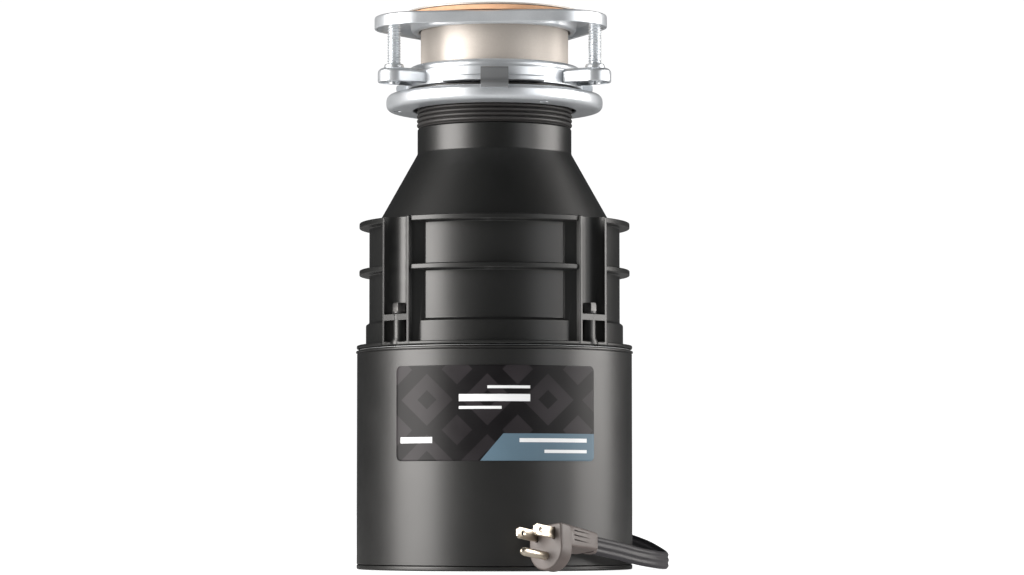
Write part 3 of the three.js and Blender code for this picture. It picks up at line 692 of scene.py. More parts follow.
def channel_cutters():
    """Upright cylinders that hollow a boss above its shelf and below it."""
    circle = [(CHANNEL_CENTRE, 0, CHANNEL_RADIUS)]
    return [make("upper_channel", loft(circle, [(SHELF, 0), (206, 0)], 96)),
            make("lower_channel", loft(circle, [(129.4, 0), (SHELF - 3.4, 0)], 96))]


def turned_copies(pieces_made, degrees):
    """Turns freshly made pieces round Z, in their meshes."""
    for piece in pieces_made:
        place = np.empty(len(piece.data.vertices) * 3, np.float32)
        piece.data.vertices.foreach_get("co", place)
        turned = (place.reshape(-1, 3) @ turn_matrix(degrees)).astype(np.float32)
        piece.data.vertices.foreach_set("co", turned.ravel())
        piece.data.update()
    return pieces_made


OUTLET_HEIGHT = 151.5
OUTLET_SCREWS = 28       # distance of each flange screw from the outlet's axis
INLET_HEIGHT = 218
INLET_ANGLE = -30


def at_outlet(name, circles, stations, steps=96):
    """A loft laid along +Y at the discharge outlet's height."""
    return make(name, shifted(toward_y(loft(circles, stations, steps)), z=OUTLET_HEIGHT))


def at_inlet(name, radius, stations, steps):
    """A round loft laid outwards at the dishwasher inlet's angle and height."""
    lying = toward_y(loft([(0, 0, radius)], stations, steps))
    return make(name, shifted(spun(lying, INLET_ANGLE), z=INLET_HEIGHT))


def grind_chamber():
    """The drum, with four bolt channels, a discharge outlet at the rear and an inlet nipple.

    The drum is a turned profile. Bosses, outlet and inlet are lofts joined to it, then the
    channels, the bowl and the bores are cut out, and the bolt columns and the seat are added.
    """
    drum = make("grind_drum", revolve(chamber_profile(), 0.7, steps=240))
    bosses, columns, cutters = [], [], []
    for angle in BOLT_ANGLES:
        boss, column = turned_copies(bolt_boss(), angle)
        bosses.append(boss)
        columns.append(column)
        cutters += turned_copies(channel_cutters(), angle)
    face = high("grind_chamber")[1]
    outlet_ends = [(70, 0), (face - 0.6, 0), (face, 0.5)]
    tube = at_outlet("outlet", [(0, 0, 20.5)], outlet_ends)
    lugs = [(-OUTLET_SCREWS, 0, 6.5), (OUTLET_SCREWS, 0, 6.5), (0, 0, 21.5)]
    plate = at_outlet("outlet_plate", lugs, soft_ends(face - 5, face, 0.6))
    nipple = at_inlet("nipple", 11, [(50, 0), (70.5, 0), (72, -1), (73.5, -1), (75.6, 0.6),
                                     (78, 0.8)], 64)
    drum = combine(drum, "UNION", *bosses, tube, plate, nipple)
    drum = combine(drum, "DIFFERENCE", *cutters)
    inside = make("bowl", revolve([(0.2, 120), (69.5, 120), (69.5, 164), (69.3, 196), (64.5, 200.4),
                                   (42, 241.3), (0.2, 241.3)], 0.2, steps=240, ease_steps=2))
    bore = at_outlet("bore", [(0, 0, 17)], [(50, 0), (90, 0)], 64)
    holes = [at_outlet("hole", [(x, 0, 2.4)], [(74, 0), (90, 0)], 24)
             for x in (-OUTLET_SCREWS, OUTLET_SCREWS)]
    hose_bore = at_inlet("hose_bore", 8, [(40, 0), (90, 0)], 48)
    drum = combine(drum, "DIFFERENCE", inside, bore, *holes, hose_bore)
    seat = make("seat", revolve([(65, 164), (69.9, 164), (69.9, 167.7), (65, 167.7)], 0.2, steps=240))
    return combine(drum, "UNION", *columns, seat, sharp=35)


def through_bolt(index):
    """A hexagon head with a turned-down top, on a washer over a plain shank.

    Each is a level outline lofted upwards: the hull of six points for the head, a circle for the
    washer and the shank.
    """
    hexagon = [(*polar(3.8, 60 * k + 30), 0.5) for k in range(6)]
    top = SHELF + 6.5
    head = loft(hexagon, [(SHELF + 1.6, 0.0), (top - 1.0, 0.0), (top - 0.4, 0.35), (top, 1.0)], 72)
    washer = loft([(0, 0, 4.4)], soft_ends(SHELF + 0.3, SHELF + 1.7, 0.3), 40)
    shank = loft([(0, 0, 2.4)], soft_ends(18, SHELF + 2, 0.4), 24)
    x, y = polar(BOLT_CIRCLE, BOLT_ANGLES[index])
    shells = [shifted(spun(shell, BOLT_ANGLES[index]), x, y) for shell in (head, washer, shank)]
    return make(f"hex_bolt_{index + 1}", *shells)


def upper_end_bell():
    """A hub, a web and a stepped rim: one profile of radius and height turned round Z."""
    return make("end_bell", revolve([
        (13.2, 112), (17.5, 112), (20, 130), (66, 130), (67.6, 126.5), (78.6, 126.5), (78.6, 127.1),
        (68.8, 127.1), (68.8, 133.5), (16, 133.5), (14, 139), (10.5, 139), (10.5, 131.8),
        (13.2, 131.8)], 0.3, steps=192, ease_steps=3))


def motor_can():
    """A drawn can whose top edge is rolled outwards into a bead, one profile turned round Z."""
    wall = 1.2
    can = make("drawn_can", revolve([
        (CAN_RADIUS - wall, CAN_LOW), (CAN_RADIUS, CAN_LOW), (CAN_RADIUS, CAN_HIGH - 1.5),
        (CAN_RADIUS - 0.5, CAN_HIGH - 1.35), (CAN_RADIUS - 0.5, CAN_HIGH - 1.05),
        (RIM_RADIUS, CAN_HIGH - 0.9), (RIM_RADIUS, CAN_HIGH), (CAN_RADIUS, CAN_HIGH + 0.3),
        (CAN_RADIUS - wall, CAN_HIGH + 0.3)], 0.25, steps=256))
    hole = make("hole", shifted(spun(toward_y(loft([(0, 0, 7.2)], [(60, 0), (90, 0)], 48)),
                                     EXIT_ANGLE - 90), z=EXIT_HEIGHT))
    return combine(can, "DIFFERENCE", hole)


def base_cap():
    """A pressed cap with a recessed plate and openings for wiring, reset and two screws.

    One profile turned round Z, with a screw boss joined to it and upright lofts cut out of it.
    """
    cap = make("pressed_base", revolve([
        (9, 6), (69.2, 6), (70.6, 0), (CAN_RADIUS, 0), (CAN_RADIUS, CAN_LOW - 0.3),
        (78.4, CAN_LOW - 0.3), (78.4, 8.4), (9, 8.4)], 0.9, steps=256))
    boss = make("boss", loft([(-30, 37.5, 4)], [(8, 0), (12, 0)], 32))
    cap = combine(cap, "UNION", boss)
    cutters = [make("opening", loft(circles, [(-2, 0), (20, 0)], 48)) for circles in (
        box_circles(-30, 22, 36, 20, 1.0), [(20, -38, 4.9)], [(-46, -18, 2.3)], [(-30, 37.5, 1.8)])]
    return combine(cap, "DIFFERENCE", *cutters)


def evenly(outline, count):
    """A closed outline resampled at equal steps along its length."""
    closed = np.vstack([outline, outline[:1]])
    gone = np.concatenate([[0], np.cumsum(np.linalg.norm(np.diff(closed, axis=0), axis=1))])
    at = np.linspace(0, gone[-1], count, endpoint=False)
    return np.column_stack([np.interp(at, gone, closed[:, k]) for k in range(2)])


def front_label():
    """A rounded rectangle of thin film wrapped on the can.

    The outline is drawn flat as arc length and height, shrunk towards its middle in rings, and
    each ring is rolled round the can: once on the film's face and once on its back.
    """
    width, bottom, top, rings = 122.7, low("front_label")[2], high("front_label")[2] + 0.8, 40
    middle = np.array([0, (bottom + top) / 2])
    outline = evenly(hull(box_circles(*middle, width, top - bottom, 3.0), 0, 160), 480)
    share = np.concatenate([np.linspace(0.002, 0.997, rings), [1.0, 1.0],
                            np.linspace(1, 0.002, rings)])
    lift = np.concatenate([np.full(rings, 0.5), [0.42, 0.2], np.full(rings, 0.12)])
    flat = middle + (outline - middle)[None] * share[:, None, None]
    angle = (flat[..., 0] + 0.5) / CAN_RADIUS - math.pi / 2
    radius = CAN_RADIUS + lift[:, None] + 0 * angle
    points = np.stack([radius * np.cos(angle), radius * np.sin(angle), flat[..., 1]], axis=-1)
    return make("printed_label", skin(points, caps=True), sharp=50)


def wiring_cover():
    """A cover plate, a rounded rectangle lofted with eased edges, and a screw hole through it."""
    plate = make("access_cover", loft(box_circles(-30, 24, 44, 36, 2.0), soft_ends(4.2, 5.7, 0.5)))
    return combine(plate, "DIFFERENCE", drilled("hole", -30, 37.5, 1.8, 0, 10, 32))


def slotted_screw(name, node, radius, head_radius):
    """A pan head with a slot, over a threaded shank, hanging head down.

    The head is a circle lofted upwards and drawn in at its face; the shank is a thread.
    """
    start, end = low(node), high(node)
    x, y = (start[:2] + end[:2]) / 2
    head_top = start[2] + 2.0
    head = loft([(0, 0, head_radius)], [(start[2], 1.1), (start[2] + 0.3, 0.5),
                                        (start[2] + 0.9, 0.1), (head_top, 0.0)], 48)
    shank = thread(radius, 0.25, 0.7, head_top - 0.5, end[2], sides=20, turn_steps=6)
    slot = loft(box_circles(0, 0, 1.0, 4 * head_radius, 0.1), [(0, 0), (start[2] + 0.9, 0)], 24)
    screw = combine(make(name, shifted(head, x, y)), "DIFFERENCE",
                    make("slot", shifted(slot, x, y)))
    return combine(screw, "UNION", make("shank", shifted(shank, x, y)))


def reset_button():
    """A short push button: a circle lofted upwards, drawn in at its face and dished there."""
    start, end = low("reset_button"), high("reset_button")
    x, y = (start[:2] + end[:2]) / 2
    stations = [(start[2] + 0.5, 3.4), (start[2], 2.2), (start[2], 1.2), (start[2] + 0.35, 0.35),
                (start[2] + 0.9, 0.0), (end[2], 0.0)]
    return make("push_button", shifted(loft([(0, 0, 4.5)], stations, 48), x, y), sharp=60)


made = [
    (sink_flange(), "housing", "stainless", ["sink_flange"]),
    (fiber_gasket(), "housing", "fibre", ["fiber_gasket"]),
    (backup_flange(), "housing", "zinc", ["backup_flange"]),
    (snap_ring(), "housing", "spring_steel", ["snap_ring"]),
    (mounting_ring(), "housing", "zinc", ["mounting_ring"]),
    (lower_mounting_ring(), "lock_ring", "zinc", ["lower_mounting_ring"]),
    (cushion(), "housing", "rubber", ["cushion_mount"]),
    (splash_baffle(), "housing", "rubber", ["splash_baffle"]),
    (grind_chamber(), "housing", "black_plastic", ["grind_chamber"]),
    (upper_end_bell(), "housing", "cast_steel", ["upper_end_bell"]),
    (motor_can(), "housing", "black_paint", ["motor_shell"]),
    (base_cap(), "housing", "black_paint", ["base_cap"]),
    (front_label(), "housing", "label", ["front_label"]),
    (wiring_cover(), "housing", "black_paint", ["wiring_cover"]),
    (slotted_screw("cover_fixing", "cover_screw", 1.5, 3.4), "housing", "zinc", ["cover_screw"]),
    (slotted_screw("earth_fixing", "ground_screw", 2.0, 4.4), "housing", "green_paint",
     ["ground_screw"]),
    (reset_button(), "reset", "red_plastic", ["reset_button"]),
]
for k in range(4):
    made.append((through_bolt(k), "housing", "black_screw", [f"through_bolt_{k + 1}"]))
for k in range(3):
    made.append((mounting_screw(k), f"screw_{k + 1}", "zinc", [f"mounting_screw_{k + 1}"]))
for piece, body, slot_name, nodes in made:
    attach(piece, body)
    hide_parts(*nodes)


# ---- Finishes --------------------------------------------------------------------------------
def new_group(name, inputs, outputs):
    """An empty shader node group with the given sockets, and its in and out nodes."""
    group = bpy.data.node_groups.new(name, "ShaderNodeTree")
    for socket, kind, value in inputs:
        made_socket = group.interface.new_socket(socket, in_out="INPUT", socket_type=kind)
        if value is not None:
            made_socket.default_value = value
    for socket, kind in outputs:
        group.interface.new_socket(socket, in_out="OUTPUT", socket_type=kind)
    return group, group.nodes.new("NodeGroupInput"), group.nodes.new("NodeGroupOutput")


def node(tree, kind, links=None, **settings):
    """A node with its settings made and its inputs linked or given values."""
    made_node = tree.nodes.new(kind)
    for key, value in settings.items():
        setattr(made_node, key, value)
    for key, value in (links or {}).items():
        if isinstance(value, bpy.types.NodeSocket):
            tree.links.new(value, made_node.inputs[key])
        else:
            made_node.inputs[key].default_value = value
    return made_node


def math_node(tree, operation, a, b=0.0, c=0.0):
    return node(tree, "ShaderNodeMath", {0: a, 1: b, 2: c}, operation=operation).outputs[0]


def grain_group():
    """Cloudy and fine variation: colour drifts, roughness drifts, and a height for bump."""
    group, source, target = new_group(
        "surface_grain",
        [("Vector", "NodeSocketVector", None), ("Colour", "NodeSocketColor", (0.5, 0.5, 0.5, 1)),
         ("Tint", "NodeSocketColor", (0.5, 0.5, 0.5, 1)), ("Drift", "NodeSocketFloat", 0.3),
         ("Cloud Scale", "NodeSocketFloat", 18.0), ("Fine Scale", "NodeSocketFloat", 900.0),
         ("Roughness", "NodeSocketFloat", 0.4), ("Spread", "NodeSocketFloat", 0.1)],
        [("Colour", "NodeSocketColor"), ("Roughness", "NodeSocketFloat"),
         ("Height", "NodeSocketFloat")])
    cloud = node(group, "ShaderNodeTexNoise", {"Vector": source.outputs["Vector"],
                                               "Scale": source.outputs["Cloud Scale"],
                                               "Detail": 4.0}).outputs["Fac"]
    fine = node(group, "ShaderNodeTexNoise", {"Vector": source.outputs["Vector"],
                                              "Scale": source.outputs["Fine Scale"],
                                              "Detail": 2.0}).outputs["Fac"]
    mixed = math_node(group, "MULTIPLY_ADD", cloud, 0.7, math_node(group, "MULTIPLY", fine, 0.3))
    spot = node(group, "ShaderNodeMapRange", {"Value": mixed, "From Min": 0.38, "From Max": 0.64})
    share = math_node(group, "MULTIPLY", spot.outputs[0], source.outputs["Drift"])
    colour = node(group, "ShaderNodeMix", {0: share, 6: source.outputs["Colour"],
                                           7: source.outputs["Tint"]}, data_type="RGBA")
    centred = math_node(group, "SUBTRACT", mixed, 0.5)
    rough = math_node(group, "MULTIPLY_ADD", centred, math_node(
        group, "MULTIPLY", source.outputs["Spread"], 4.0), source.outputs["Roughness"])
    group.links.new(colour.outputs[2], target.inputs["Colour"])
    group.links.new(rough, target.inputs["Roughness"])
    group.links.new(fine, target.inputs["Height"])
    return group


def wear_group():
    """Handled edges: where the surface is convex, broken up by noise, the edge colour shows."""
    group, source, target = new_group(
        "worn_edges",
        [("Vector", "NodeSocketVector", None), ("Colour", "NodeSocketColor", (0.1, 0.1, 0.1, 1)),
         ("Edge Colour", "NodeSocketColor", (0.5, 0.5, 0.5, 1)), ("Amount", "NodeSocketFloat", 0.4),
         ("Roughness", "NodeSocketFloat", 0.4), ("Edge Roughness", "NodeSocketFloat", 0.3)],
        [("Colour", "NodeSocketColor"), ("Roughness", "NodeSocketFloat")])
    convex = node(group, "ShaderNodeNewGeometry").outputs["Pointiness"]
    edge = node(group, "ShaderNodeMapRange", {"Value": convex, "From Min": 0.515,
                                              "From Max": 0.58})
    breakup = node(group, "ShaderNodeTexNoise", {"Vector": source.outputs["Vector"], "Scale": 160.0,
                                                 "Detail": 5.0}).outputs["Fac"]
    patch = node(group, "ShaderNodeMapRange", {"Value": breakup, "From Min": 0.42,
                                               "From Max": 0.62})
    mask = math_node(group, "MULTIPLY", edge.outputs[0], patch.outputs[0])
    mask = math_node(group, "MULTIPLY", mask, source.outputs["Amount"])
    colour = node(group, "ShaderNodeMix", {0: mask, 6: source.outputs["Colour"],
                                           7: source.outputs["Edge Colour"]}, data_type="RGBA")
    rough = node(group, "ShaderNodeMix", {0: mask, 2: source.outputs["Roughness"],
                                          3: source.outputs["Edge Roughness"]}, data_type="FLOAT")
    group.links.new(colour.outputs[2], target.inputs["Colour"])
    group.links.new(rough.outputs[0], target.inputs["Roughness"])
    return group


def brushed_group():
    """Fine lines: noise stretched by the vector's own scaling, as roughness and height."""
    group, source, target = new_group(
        "brushed_lines",
        [("Vector", "NodeSocketVector", None), ("Stretch", "NodeSocketVector", (40, 40, 4000)),
         ("Roughness", "NodeSocketFloat", 0.25), ("Spread", "NodeSocketFloat", 0.2)],
        [("Roughness", "NodeSocketFloat"), ("Height", "NodeSocketFloat")])
    scaled = node(group, "ShaderNodeVectorMath", {0: source.outputs["Vector"],
                                                  1: source.outputs["Stretch"]},
                  operation="MULTIPLY").outputs[0]
    lines = node(group, "ShaderNodeTexNoise", {"Vector": scaled, "Scale": 1.0,
                                               "Detail": 3.0}).outputs["Fac"]
    centred = math_node(group, "SUBTRACT", lines, 0.5)
    rough = math_node(group, "MULTIPLY_ADD", centred, source.outputs["Spread"],
                      source.outputs["Roughness"])
    group.links.new(rough, target.inputs["Roughness"])
    group.links.new(lines, target.inputs["Height"])
    return group


GRAIN = grain_group()
WEAR = wear_group()
BRUSHED = brushed_group()


def place_group(tree, group, **values):
    """A group node; underscores in the names stand for spaces."""
    placed = tree.nodes.new("ShaderNodeGroup")
    placed.node_tree = group
    for key, value in values.items():
        socket = placed.inputs[key.replace("_", " ")]
        if isinstance(value, bpy.types.NodeSocket):
            tree.links.new(value, socket)
        else:
            socket.default_value = value
    return placed


def material(name, colour, tint, rough, metal=0.0, drift=0.4, spread=0.1, cloud=18.0, fine=900.0,
             bump=0.02, edge=None, wear=0.0, lines=None, coat=0.0, specular=0.5):
    """A finish on object coordinates: grain, optional brushed lines and optional worn edges."""
    made_material = bpy.data.materials.new(name)
    made_material.use_nodes = True
    tree = made_material.node_tree
    shader = tree.nodes["Principled BSDF"]
    shader.inputs["Metallic"].default_value = metal
    shader.inputs["Coat Weight"].default_value = coat
    shader.inputs["Coat Roughness"].default_value = 0.25
    shader.inputs["Specular IOR Level"].default_value = specular
    place = node(tree, "ShaderNodeTexCoord").outputs["Object"]
    grain = place_group(tree, GRAIN, Vector=place, Colour=(*colour, 1), Tint=(*tint, 1),
                        Drift=drift, Cloud_Scale=cloud, Fine_Scale=fine, Roughness=rough,
                        Spread=spread)
    shown, dull, height = (grain.outputs[key] for key in ("Colour", "Roughness", "Height"))
    if lines:
        brushed = place_group(tree, BRUSHED, Vector=place, Stretch=lines, Roughness=dull,
                              Spread=0.25)
        dull, height = brushed.outputs["Roughness"], brushed.outputs["Height"]
    if wear:
        worn = place_group(tree, WEAR, Vector=place, Colour=shown, Edge_Colour=(*edge, 1),
                           Amount=wear, Roughness=dull, Edge_Roughness=rough * 0.8)
        shown, dull = worn.outputs["Colour"], worn.outputs["Roughness"]
    tree.links.new(shown, shader.inputs["Base Color"])
    tree.links.new(dull, shader.inputs["Roughness"])
    raised = node(tree, "ShaderNodeBump", {"Height": height, "Strength": 0.35,
                                           "Distance": bump * MM})
    tree.links.new(raised.outputs[0], shader.inputs["Normal"])
    return made_material


def within(tree, value, middle, half):
    """1 where a value is less than half away from the middle, 0 elsewhere."""
    away = math_node(tree, "ABSOLUTE", math_node(tree, "SUBTRACT", value, middle * MM))
    return math_node(tree, "LESS_THAN", away, half * MM)


def bar_mask(tree, along, height, x, z, half_width, half_height):
    """1 inside a bar about (x, z), 0 outside."""
    return math_node(tree, "MULTIPLY", within(tree, along, x, half_width),
                     within(tree, height, z, half_height))


PANEL_TOP = 77.0
PANEL_SLANT = 0.85       # sideways run of the panel's end for each unit of height
PANEL_START = -60.5      # where that slanted end would reach the floor
BARS = [                 # x, z, half width and half height of each plain bar
    (0, 97, 20, 2.0), (-8, 91.5, 12, 0.8), (8, 103, 12, 0.8), (-44, 73.4, 9, 1.7),
    (33, 73.2, 19, 1.1), (40, 67.0, 12, 0.9),
]


def label_material():
    """Dark film with faint slanted facets, a slate panel with a slanted end, and plain bars."""
    made_material = bpy.data.materials.new("label_print")
    made_material.use_nodes = True
    tree = made_material.node_tree
    shader = tree.nodes["Principled BSDF"]
    shader.inputs["Specular IOR Level"].default_value = 0.16
    place = node(tree, "ShaderNodeTexCoord").outputs["Object"]
    axes = node(tree, "ShaderNodeSeparateXYZ", {0: place}).outputs
    x, z = axes[0], axes[2]
    cell = 17 * MM
    fold_x = math_node(tree, "PINGPONG", math_node(tree, "ADD", x, 4 * MM), cell)
    fold_z = math_node(tree, "PINGPONG", math_node(tree, "ADD", z, 6 * MM), cell)
    fold = math_node(tree, "ADD", fold_x, fold_z)
    wave = math_node(tree, "PINGPONG", math_node(tree, "MULTIPLY", fold, 1.7), cell)
    band = node(tree, "ShaderNodeMapRange", {"Value": wave, "From Min": 9.0 * MM,
                                             "From Max": 9.4 * MM}).outputs[0]
    cloud = node(tree, "ShaderNodeTexNoise", {"Vector": place, "Scale": 30.0}).outputs["Fac"]
    shade = math_node(tree, "MULTIPLY", band, cloud)
    ink = node(tree, "ShaderNodeMix", {0: shade, 6: (0.0035, 0.003, 0.0035, 1),
                                       7: (0.030, 0.026, 0.029, 1)}, data_type="RGBA").outputs[2]
    slant = math_node(tree, "MULTIPLY_ADD", z, -PANEL_SLANT, x)
    right = math_node(tree, "GREATER_THAN", slant, PANEL_START * MM)
    below = math_node(tree, "LESS_THAN", z, PANEL_TOP * MM)
    panel = math_node(tree, "MULTIPLY", right, below)
    coloured = node(tree, "ShaderNodeMix", {0: panel, 6: ink, 7: (0.085, 0.135, 0.175, 1)},
                    data_type="RGBA").outputs[2]
    masks = [bar_mask(tree, x, z, *bar) for bar in BARS]
    every = masks[0]
    for mask in masks[1:]:
        every = math_node(tree, "MAXIMUM", every, mask)
    grain = place_group(tree, GRAIN, Vector=place, Colour=coloured, Tint=(0.02, 0.02, 0.022, 1),
                        Drift=0.1, Cloud_Scale=60.0, Fine_Scale=2500.0, Roughness=0.40, Spread=0.05)
    printed = node(tree, "ShaderNodeMix", {0: every, 6: grain.outputs["Colour"],
                                           7: (0.62, 0.63, 0.64, 1)}, data_type="RGBA").outputs[2]
    tree.links.new(printed, shader.inputs["Base Color"])
    tree.links.new(grain.outputs["Roughness"], shader.inputs["Roughness"])
    raised = node(tree, "ShaderNodeBump", {"Height": grain.outputs["Height"], "Strength": 0.2,
                                           "Distance": 0.01 * MM})
    tree.links.new(raised.outputs[0], shader.inputs["Normal"])
    return made_material


ROUND_LINES = (30, 30, 5000)     # long level lines, fine from one to the next
# The zinc finish, as the plain and the named values that material takes after the name.
ZINC = (((0.60, 0.63, 0.66), (0.70, 0.73, 0.76), 0.34, 0.8),
        {"drift": 0.7, "spread": 0.05, "cloud": 45, "fine": 1400, "bump": 0.012,
         "edge": (0.8, 0.82, 0.84), "wear": 0.3})
finishes = {
    "stainless": material("turned_stainless", (0.37, 0.34, 0.31), (0.46, 0.42, 0.385), 0.52, 0.5,
                          drift=0.5, spread=0.03, bump=0.003, lines=ROUND_LINES),
    "fibre": material("pressed_fibre", (0.60, 0.36, 0.22), (0.42, 0.22, 0.12), 0.85, drift=0.6,
                      cloud=120, fine=1800, bump=0.12, specular=0.25),
    "zinc": material("bright_zinc", *ZINC[0], **ZINC[1]),
    "spring_steel": material("ground_steel", (0.40, 0.41, 0.42), (0.52, 0.52, 0.52), 0.3, 1.0,
                             lines=ROUND_LINES),
    "rubber": material("moulded_rubber", (0.013, 0.012, 0.012), (0.028, 0.026, 0.025), 0.46,
                       drift=0.5, fine=1500, bump=0.05),
    "black_plastic": material("moulded_plastic", (0.0028, 0.0030, 0.0029), (0.0045, 0.0047, 0.0045),
                              0.37, drift=0.6, spread=0.05, fine=1600, bump=0.03,
                              edge=(0.05, 0.05, 0.05), wear=0.35),
    "black_screw": material("black_oxide", (0.012, 0.012, 0.013), (0.03, 0.028, 0.027), 0.3, 0.3,
                            drift=0.6, edge=(0.15, 0.145, 0.14), wear=0.4),
    "cast_steel": material("cast_grey", (0.24, 0.25, 0.26), (0.36, 0.36, 0.35), 0.48, 0.9,
                           drift=0.7, cloud=60, fine=1200, bump=0.12),
    "bronze": material("sintered_bronze", (0.50, 0.33, 0.14), (0.62, 0.44, 0.22), 0.42, 1.0,
                       cloud=90, bump=0.05),
    "laminations": material("stacked_sheets", (0.14, 0.14, 0.15), (0.28, 0.27, 0.26), 0.45, 0.9,
                            lines=(8, 8, 2500), bump=0.1),
    "copper": material("enamelled_wire", (0.42, 0.13, 0.04), (0.62, 0.25, 0.10), 0.3, 0.9,
                       lines=(20, 20, 1400), bump=0.25, coat=0.3),
    "black_paint": material("baked_paint", (0.0028, 0.0029, 0.0028), (0.0045, 0.0045, 0.0043), 0.39,
                            drift=0.5, spread=0.04, cloud=30, fine=1100, bump=0.03,
                            edge=(0.10, 0.095, 0.09), wear=0.3, coat=0.1),
    "green_paint": material("green_plate", (0.03, 0.20, 0.06), (0.06, 0.30, 0.10), 0.35, 0.6,
                            edge=(0.4, 0.45, 0.4), wear=0.5),
    "red_plastic": material("red_button", (0.42, 0.02, 0.012), (0.55, 0.04, 0.025), 0.3, drift=0.3,
                            bump=0.01, coat=0.2),
    "label": label_material(),
    "cord_rubber": material("boot_rubber", (0.018, 0.018, 0.019), (0.03, 0.03, 0.03), 0.5,
                            drift=0.5, fine=1500, bump=0.05),
    "cord_vinyl": material("cord_jacket", (0.018, 0.017, 0.019), (0.030, 0.028, 0.031), 0.5,
                           drift=0.5, cloud=50, fine=1600, bump=0.04, specular=0.35),
    "plug_vinyl": material("plug_moulding", (0.058, 0.046, 0.042), (0.085, 0.069, 0.063), 0.52,
                           drift=0.5, cloud=60, fine=1500, bump=0.06, edge=(0.16, 0.15, 0.14),
                           wear=0.3),
    "nickel": material("nickel_plate", (0.60, 0.54, 0.45), (0.50, 0.43, 0.34), 0.34, 1.0, drift=0.5,
                       spread=0.08, cloud=120, fine=1500, bump=0.015),
}


RIM_TOP = 276.4          # above this height only the hooked tabs stand
RIM_OUTSIDE = 63.5       # outside this radius too
TAB_SHARE = 0.85


def shade_painted_tabs(finish_made):
    """Painted shade on the hooked tabs, which stand above and outside the ring's rim: a darker
    colour, with duller roughness.
    """
    tree = finish_made.node_tree
    shader = tree.nodes["Principled BSDF"]
    place = node(tree, "ShaderNodeTexCoord").outputs["Object"]
    axes = node(tree, "ShaderNodeSeparateXYZ", {0: place}).outputs
    flat = node(tree, "ShaderNodeCombineXYZ", {0: axes[0], 1: axes[1]}).outputs[0]
    reach = node(tree, "ShaderNodeVectorMath", {0: flat}, operation="LENGTH").outputs["Value"]
    tab = math_node(tree, "MAXIMUM", math_node(tree, "GREATER_THAN", axes[2], RIM_TOP * MM),
                    math_node(tree, "GREATER_THAN", reach, RIM_OUTSIDE * MM))
    share = math_node(tree, "MULTIPLY", tab, TAB_SHARE)
    shown = shader.inputs["Base Color"].links[0].from_socket
    dull = shader.inputs["Roughness"].links[0].from_socket
    # painted shade: the tabs' colour is mixed towards a dark grey
    colour = node(tree, "ShaderNodeMix", {0: share, 6: shown, 7: (0.19, 0.195, 0.20, 1)},
                  data_type="RGBA").outputs[2]
    rough = node(tree, "ShaderNodeMix", {0: share, 2: dull, 3: 0.42}, data_type="FLOAT").outputs[0]
    tree.links.new(colour, shader.inputs["Base Color"])
    tree.links.new(rough, shader.inputs["Roughness"])
    return finish_made


def dress(piece, finish_made):
    """The finish as the piece's only material."""
    piece.data.materials.clear()
    piece.data.materials.append(finish_made)


slots = {entry["node"]: entry["material_slot"] for entry in frame["record"]["subparts"]}
for node_name, solid in frame["nodes"].items():
    dress(solid, finishes[slots[node_name]])
# the lock ring's zinc, with painted shade on its hooked tabs
lock_zinc_and_shade = shade_painted_tabs(material("zinc_lock_ring_tab_shade", *ZINC[0], **ZINC[1]))
for piece, body, slot_name, nodes in made:
    dress(piece, lock_zinc_and_shade if "lower_mounting_ring" in nodes else finishes[slot_name])
dress(cord, finishes["cord_vinyl"])
dress(relief, finishes["cord_rubber"])
for piece, plug_slot in zip(plug_pieces, plug_slots):
    dress(piece, finishes[plug_slot])


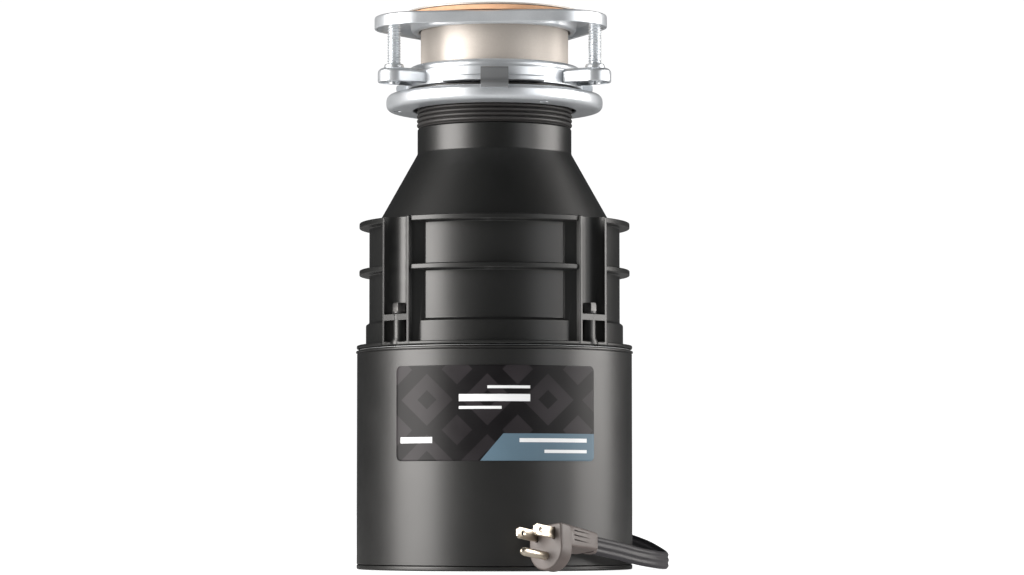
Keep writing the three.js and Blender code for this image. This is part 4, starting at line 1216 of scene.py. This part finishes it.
# ---- Stage and light ----------------------------------------------------------------------------
def make_floor():
    """A wide pale floor just under the base, its sizes in metres.

    It is white to the camera, brighter further out, and clear from below and to shadow rays.
    """
    side = 12.0
    corners = [(-side, -side, 0), (side, -side, 0), (side, side, 0), (-side, side, 0)]
    mesh = bpy.data.meshes.new("floor")
    mesh.from_pydata(corners, [], [(0, 1, 2, 3)])
    floor = bpy.data.objects.new("floor", mesh)
    floor.location.z = -0.0002
    bpy.context.scene.collection.objects.link(floor)
    paper = bpy.data.materials.new("floor_paper")
    paper.use_nodes = True
    tree = paper.node_tree
    shader = tree.nodes["Principled BSDF"]
    shader.inputs["Specular IOR Level"].default_value = 0.1
    place = node(tree, "ShaderNodeTexCoord").outputs["Object"]
    grain = place_group(tree, GRAIN, Vector=place, Colour=(0.34, 0.34, 0.34, 1),
                        Tint=(0.31, 0.31, 0.31, 1), Drift=0.4, Cloud_Scale=1.5, Fine_Scale=40.0,
                        Roughness=0.9, Spread=0.02)
    tree.links.new(grain.outputs["Colour"], shader.inputs["Base Color"])
    tree.links.new(grain.outputs["Roughness"], shader.inputs["Roughness"])
    shader.inputs["Emission Color"].default_value = (1, 1, 1, 1)
    path = node(tree, "ShaderNodeLightPath").outputs
    away = node(tree, "ShaderNodeVectorMath", {0: place}, operation="LENGTH").outputs["Value"]
    glow = node(tree, "ShaderNodeMapRange", {"Value": away, "From Min": 0.25, "From Max": 0.8,
                                             "To Min": 0.9, "To Max": 1.1}).outputs[0]
    tree.links.new(math_node(tree, "MULTIPLY", path["Is Camera Ray"], glow),
                   shader.inputs["Emission Strength"])
    behind = node(tree, "ShaderNodeNewGeometry").outputs["Backfacing"]
    clear = math_node(tree, "MAXIMUM", behind, path["Is Shadow Ray"])
    tree.links.new(math_node(tree, "SUBTRACT", 1.0, clear), shader.inputs["Alpha"])
    dress(floor, paper)


def softbox(name, azimuth, distance, height, size, power, aim=0.15, colour=(1, 1, 1)):
    """A rectangular lamp, placed in metres, that points at the height aim on the motor axis.

    Azimuth 0 is on the camera's side of the object and 90 is to the camera's right.
    """
    lamp = bpy.data.lights.new(name, "AREA")
    lamp.shape = "RECTANGLE"
    lamp.size, lamp.size_y = size
    lamp.energy = power
    lamp.color = colour
    holder = bpy.data.objects.new(name, lamp)
    a = math.radians(azimuth)
    place = np.array([distance * math.sin(a), -distance * math.cos(a), height])
    holder.location = place
    look = Vector((0, 0, aim)) - Vector(place)
    holder.rotation_euler = look.to_track_quat("-Z", "Y").to_euler()
    bpy.context.scene.collection.objects.link(holder)


def make_world():
    """A white backdrop for the camera and a dimmer sky for everything else."""
    world = bpy.data.worlds.new("studio")
    bpy.context.scene.world = world
    world.use_nodes = True
    tree = world.node_tree
    tree.nodes.clear()
    seen = node(tree, "ShaderNodeBackground", {"Color": (1, 1, 1, 1), "Strength": 1.05})
    fill = node(tree, "ShaderNodeBackground", {"Color": (0.9, 0.95, 1.0, 1)})
    path = node(tree, "ShaderNodeLightPath")
    strength = math_node(tree, "MULTIPLY_ADD", path.outputs["Is Diffuse Ray"], 0.12, 0.05)
    tree.links.new(strength, fill.inputs["Strength"])
    mix = node(tree, "ShaderNodeMixShader", {0: path.outputs["Is Camera Ray"], 1: fill.outputs[0],
                                             2: seen.outputs[0]})
    output = node(tree, "ShaderNodeOutputWorld")
    tree.links.new(mix.outputs[0], output.inputs[0])


make_floor()
make_world()
WARM = (1.0, 0.97, 0.94)
softbox("key_left", -67, 1.6, 0.45, (1.2, 1.7), 78, colour=WARM)
softbox("key_right", 88, 1.6, 0.45, (1.2, 1.7), 50, colour=WARM)
softbox("bounce", 0, 0.5, -0.9, (1.4, 1.0), 22)
softbox("side_right", 48, 1.8, 0.45, (0.7, 1.5), 7)
bpy.context.scene.view_settings.view_transform = "Standard"
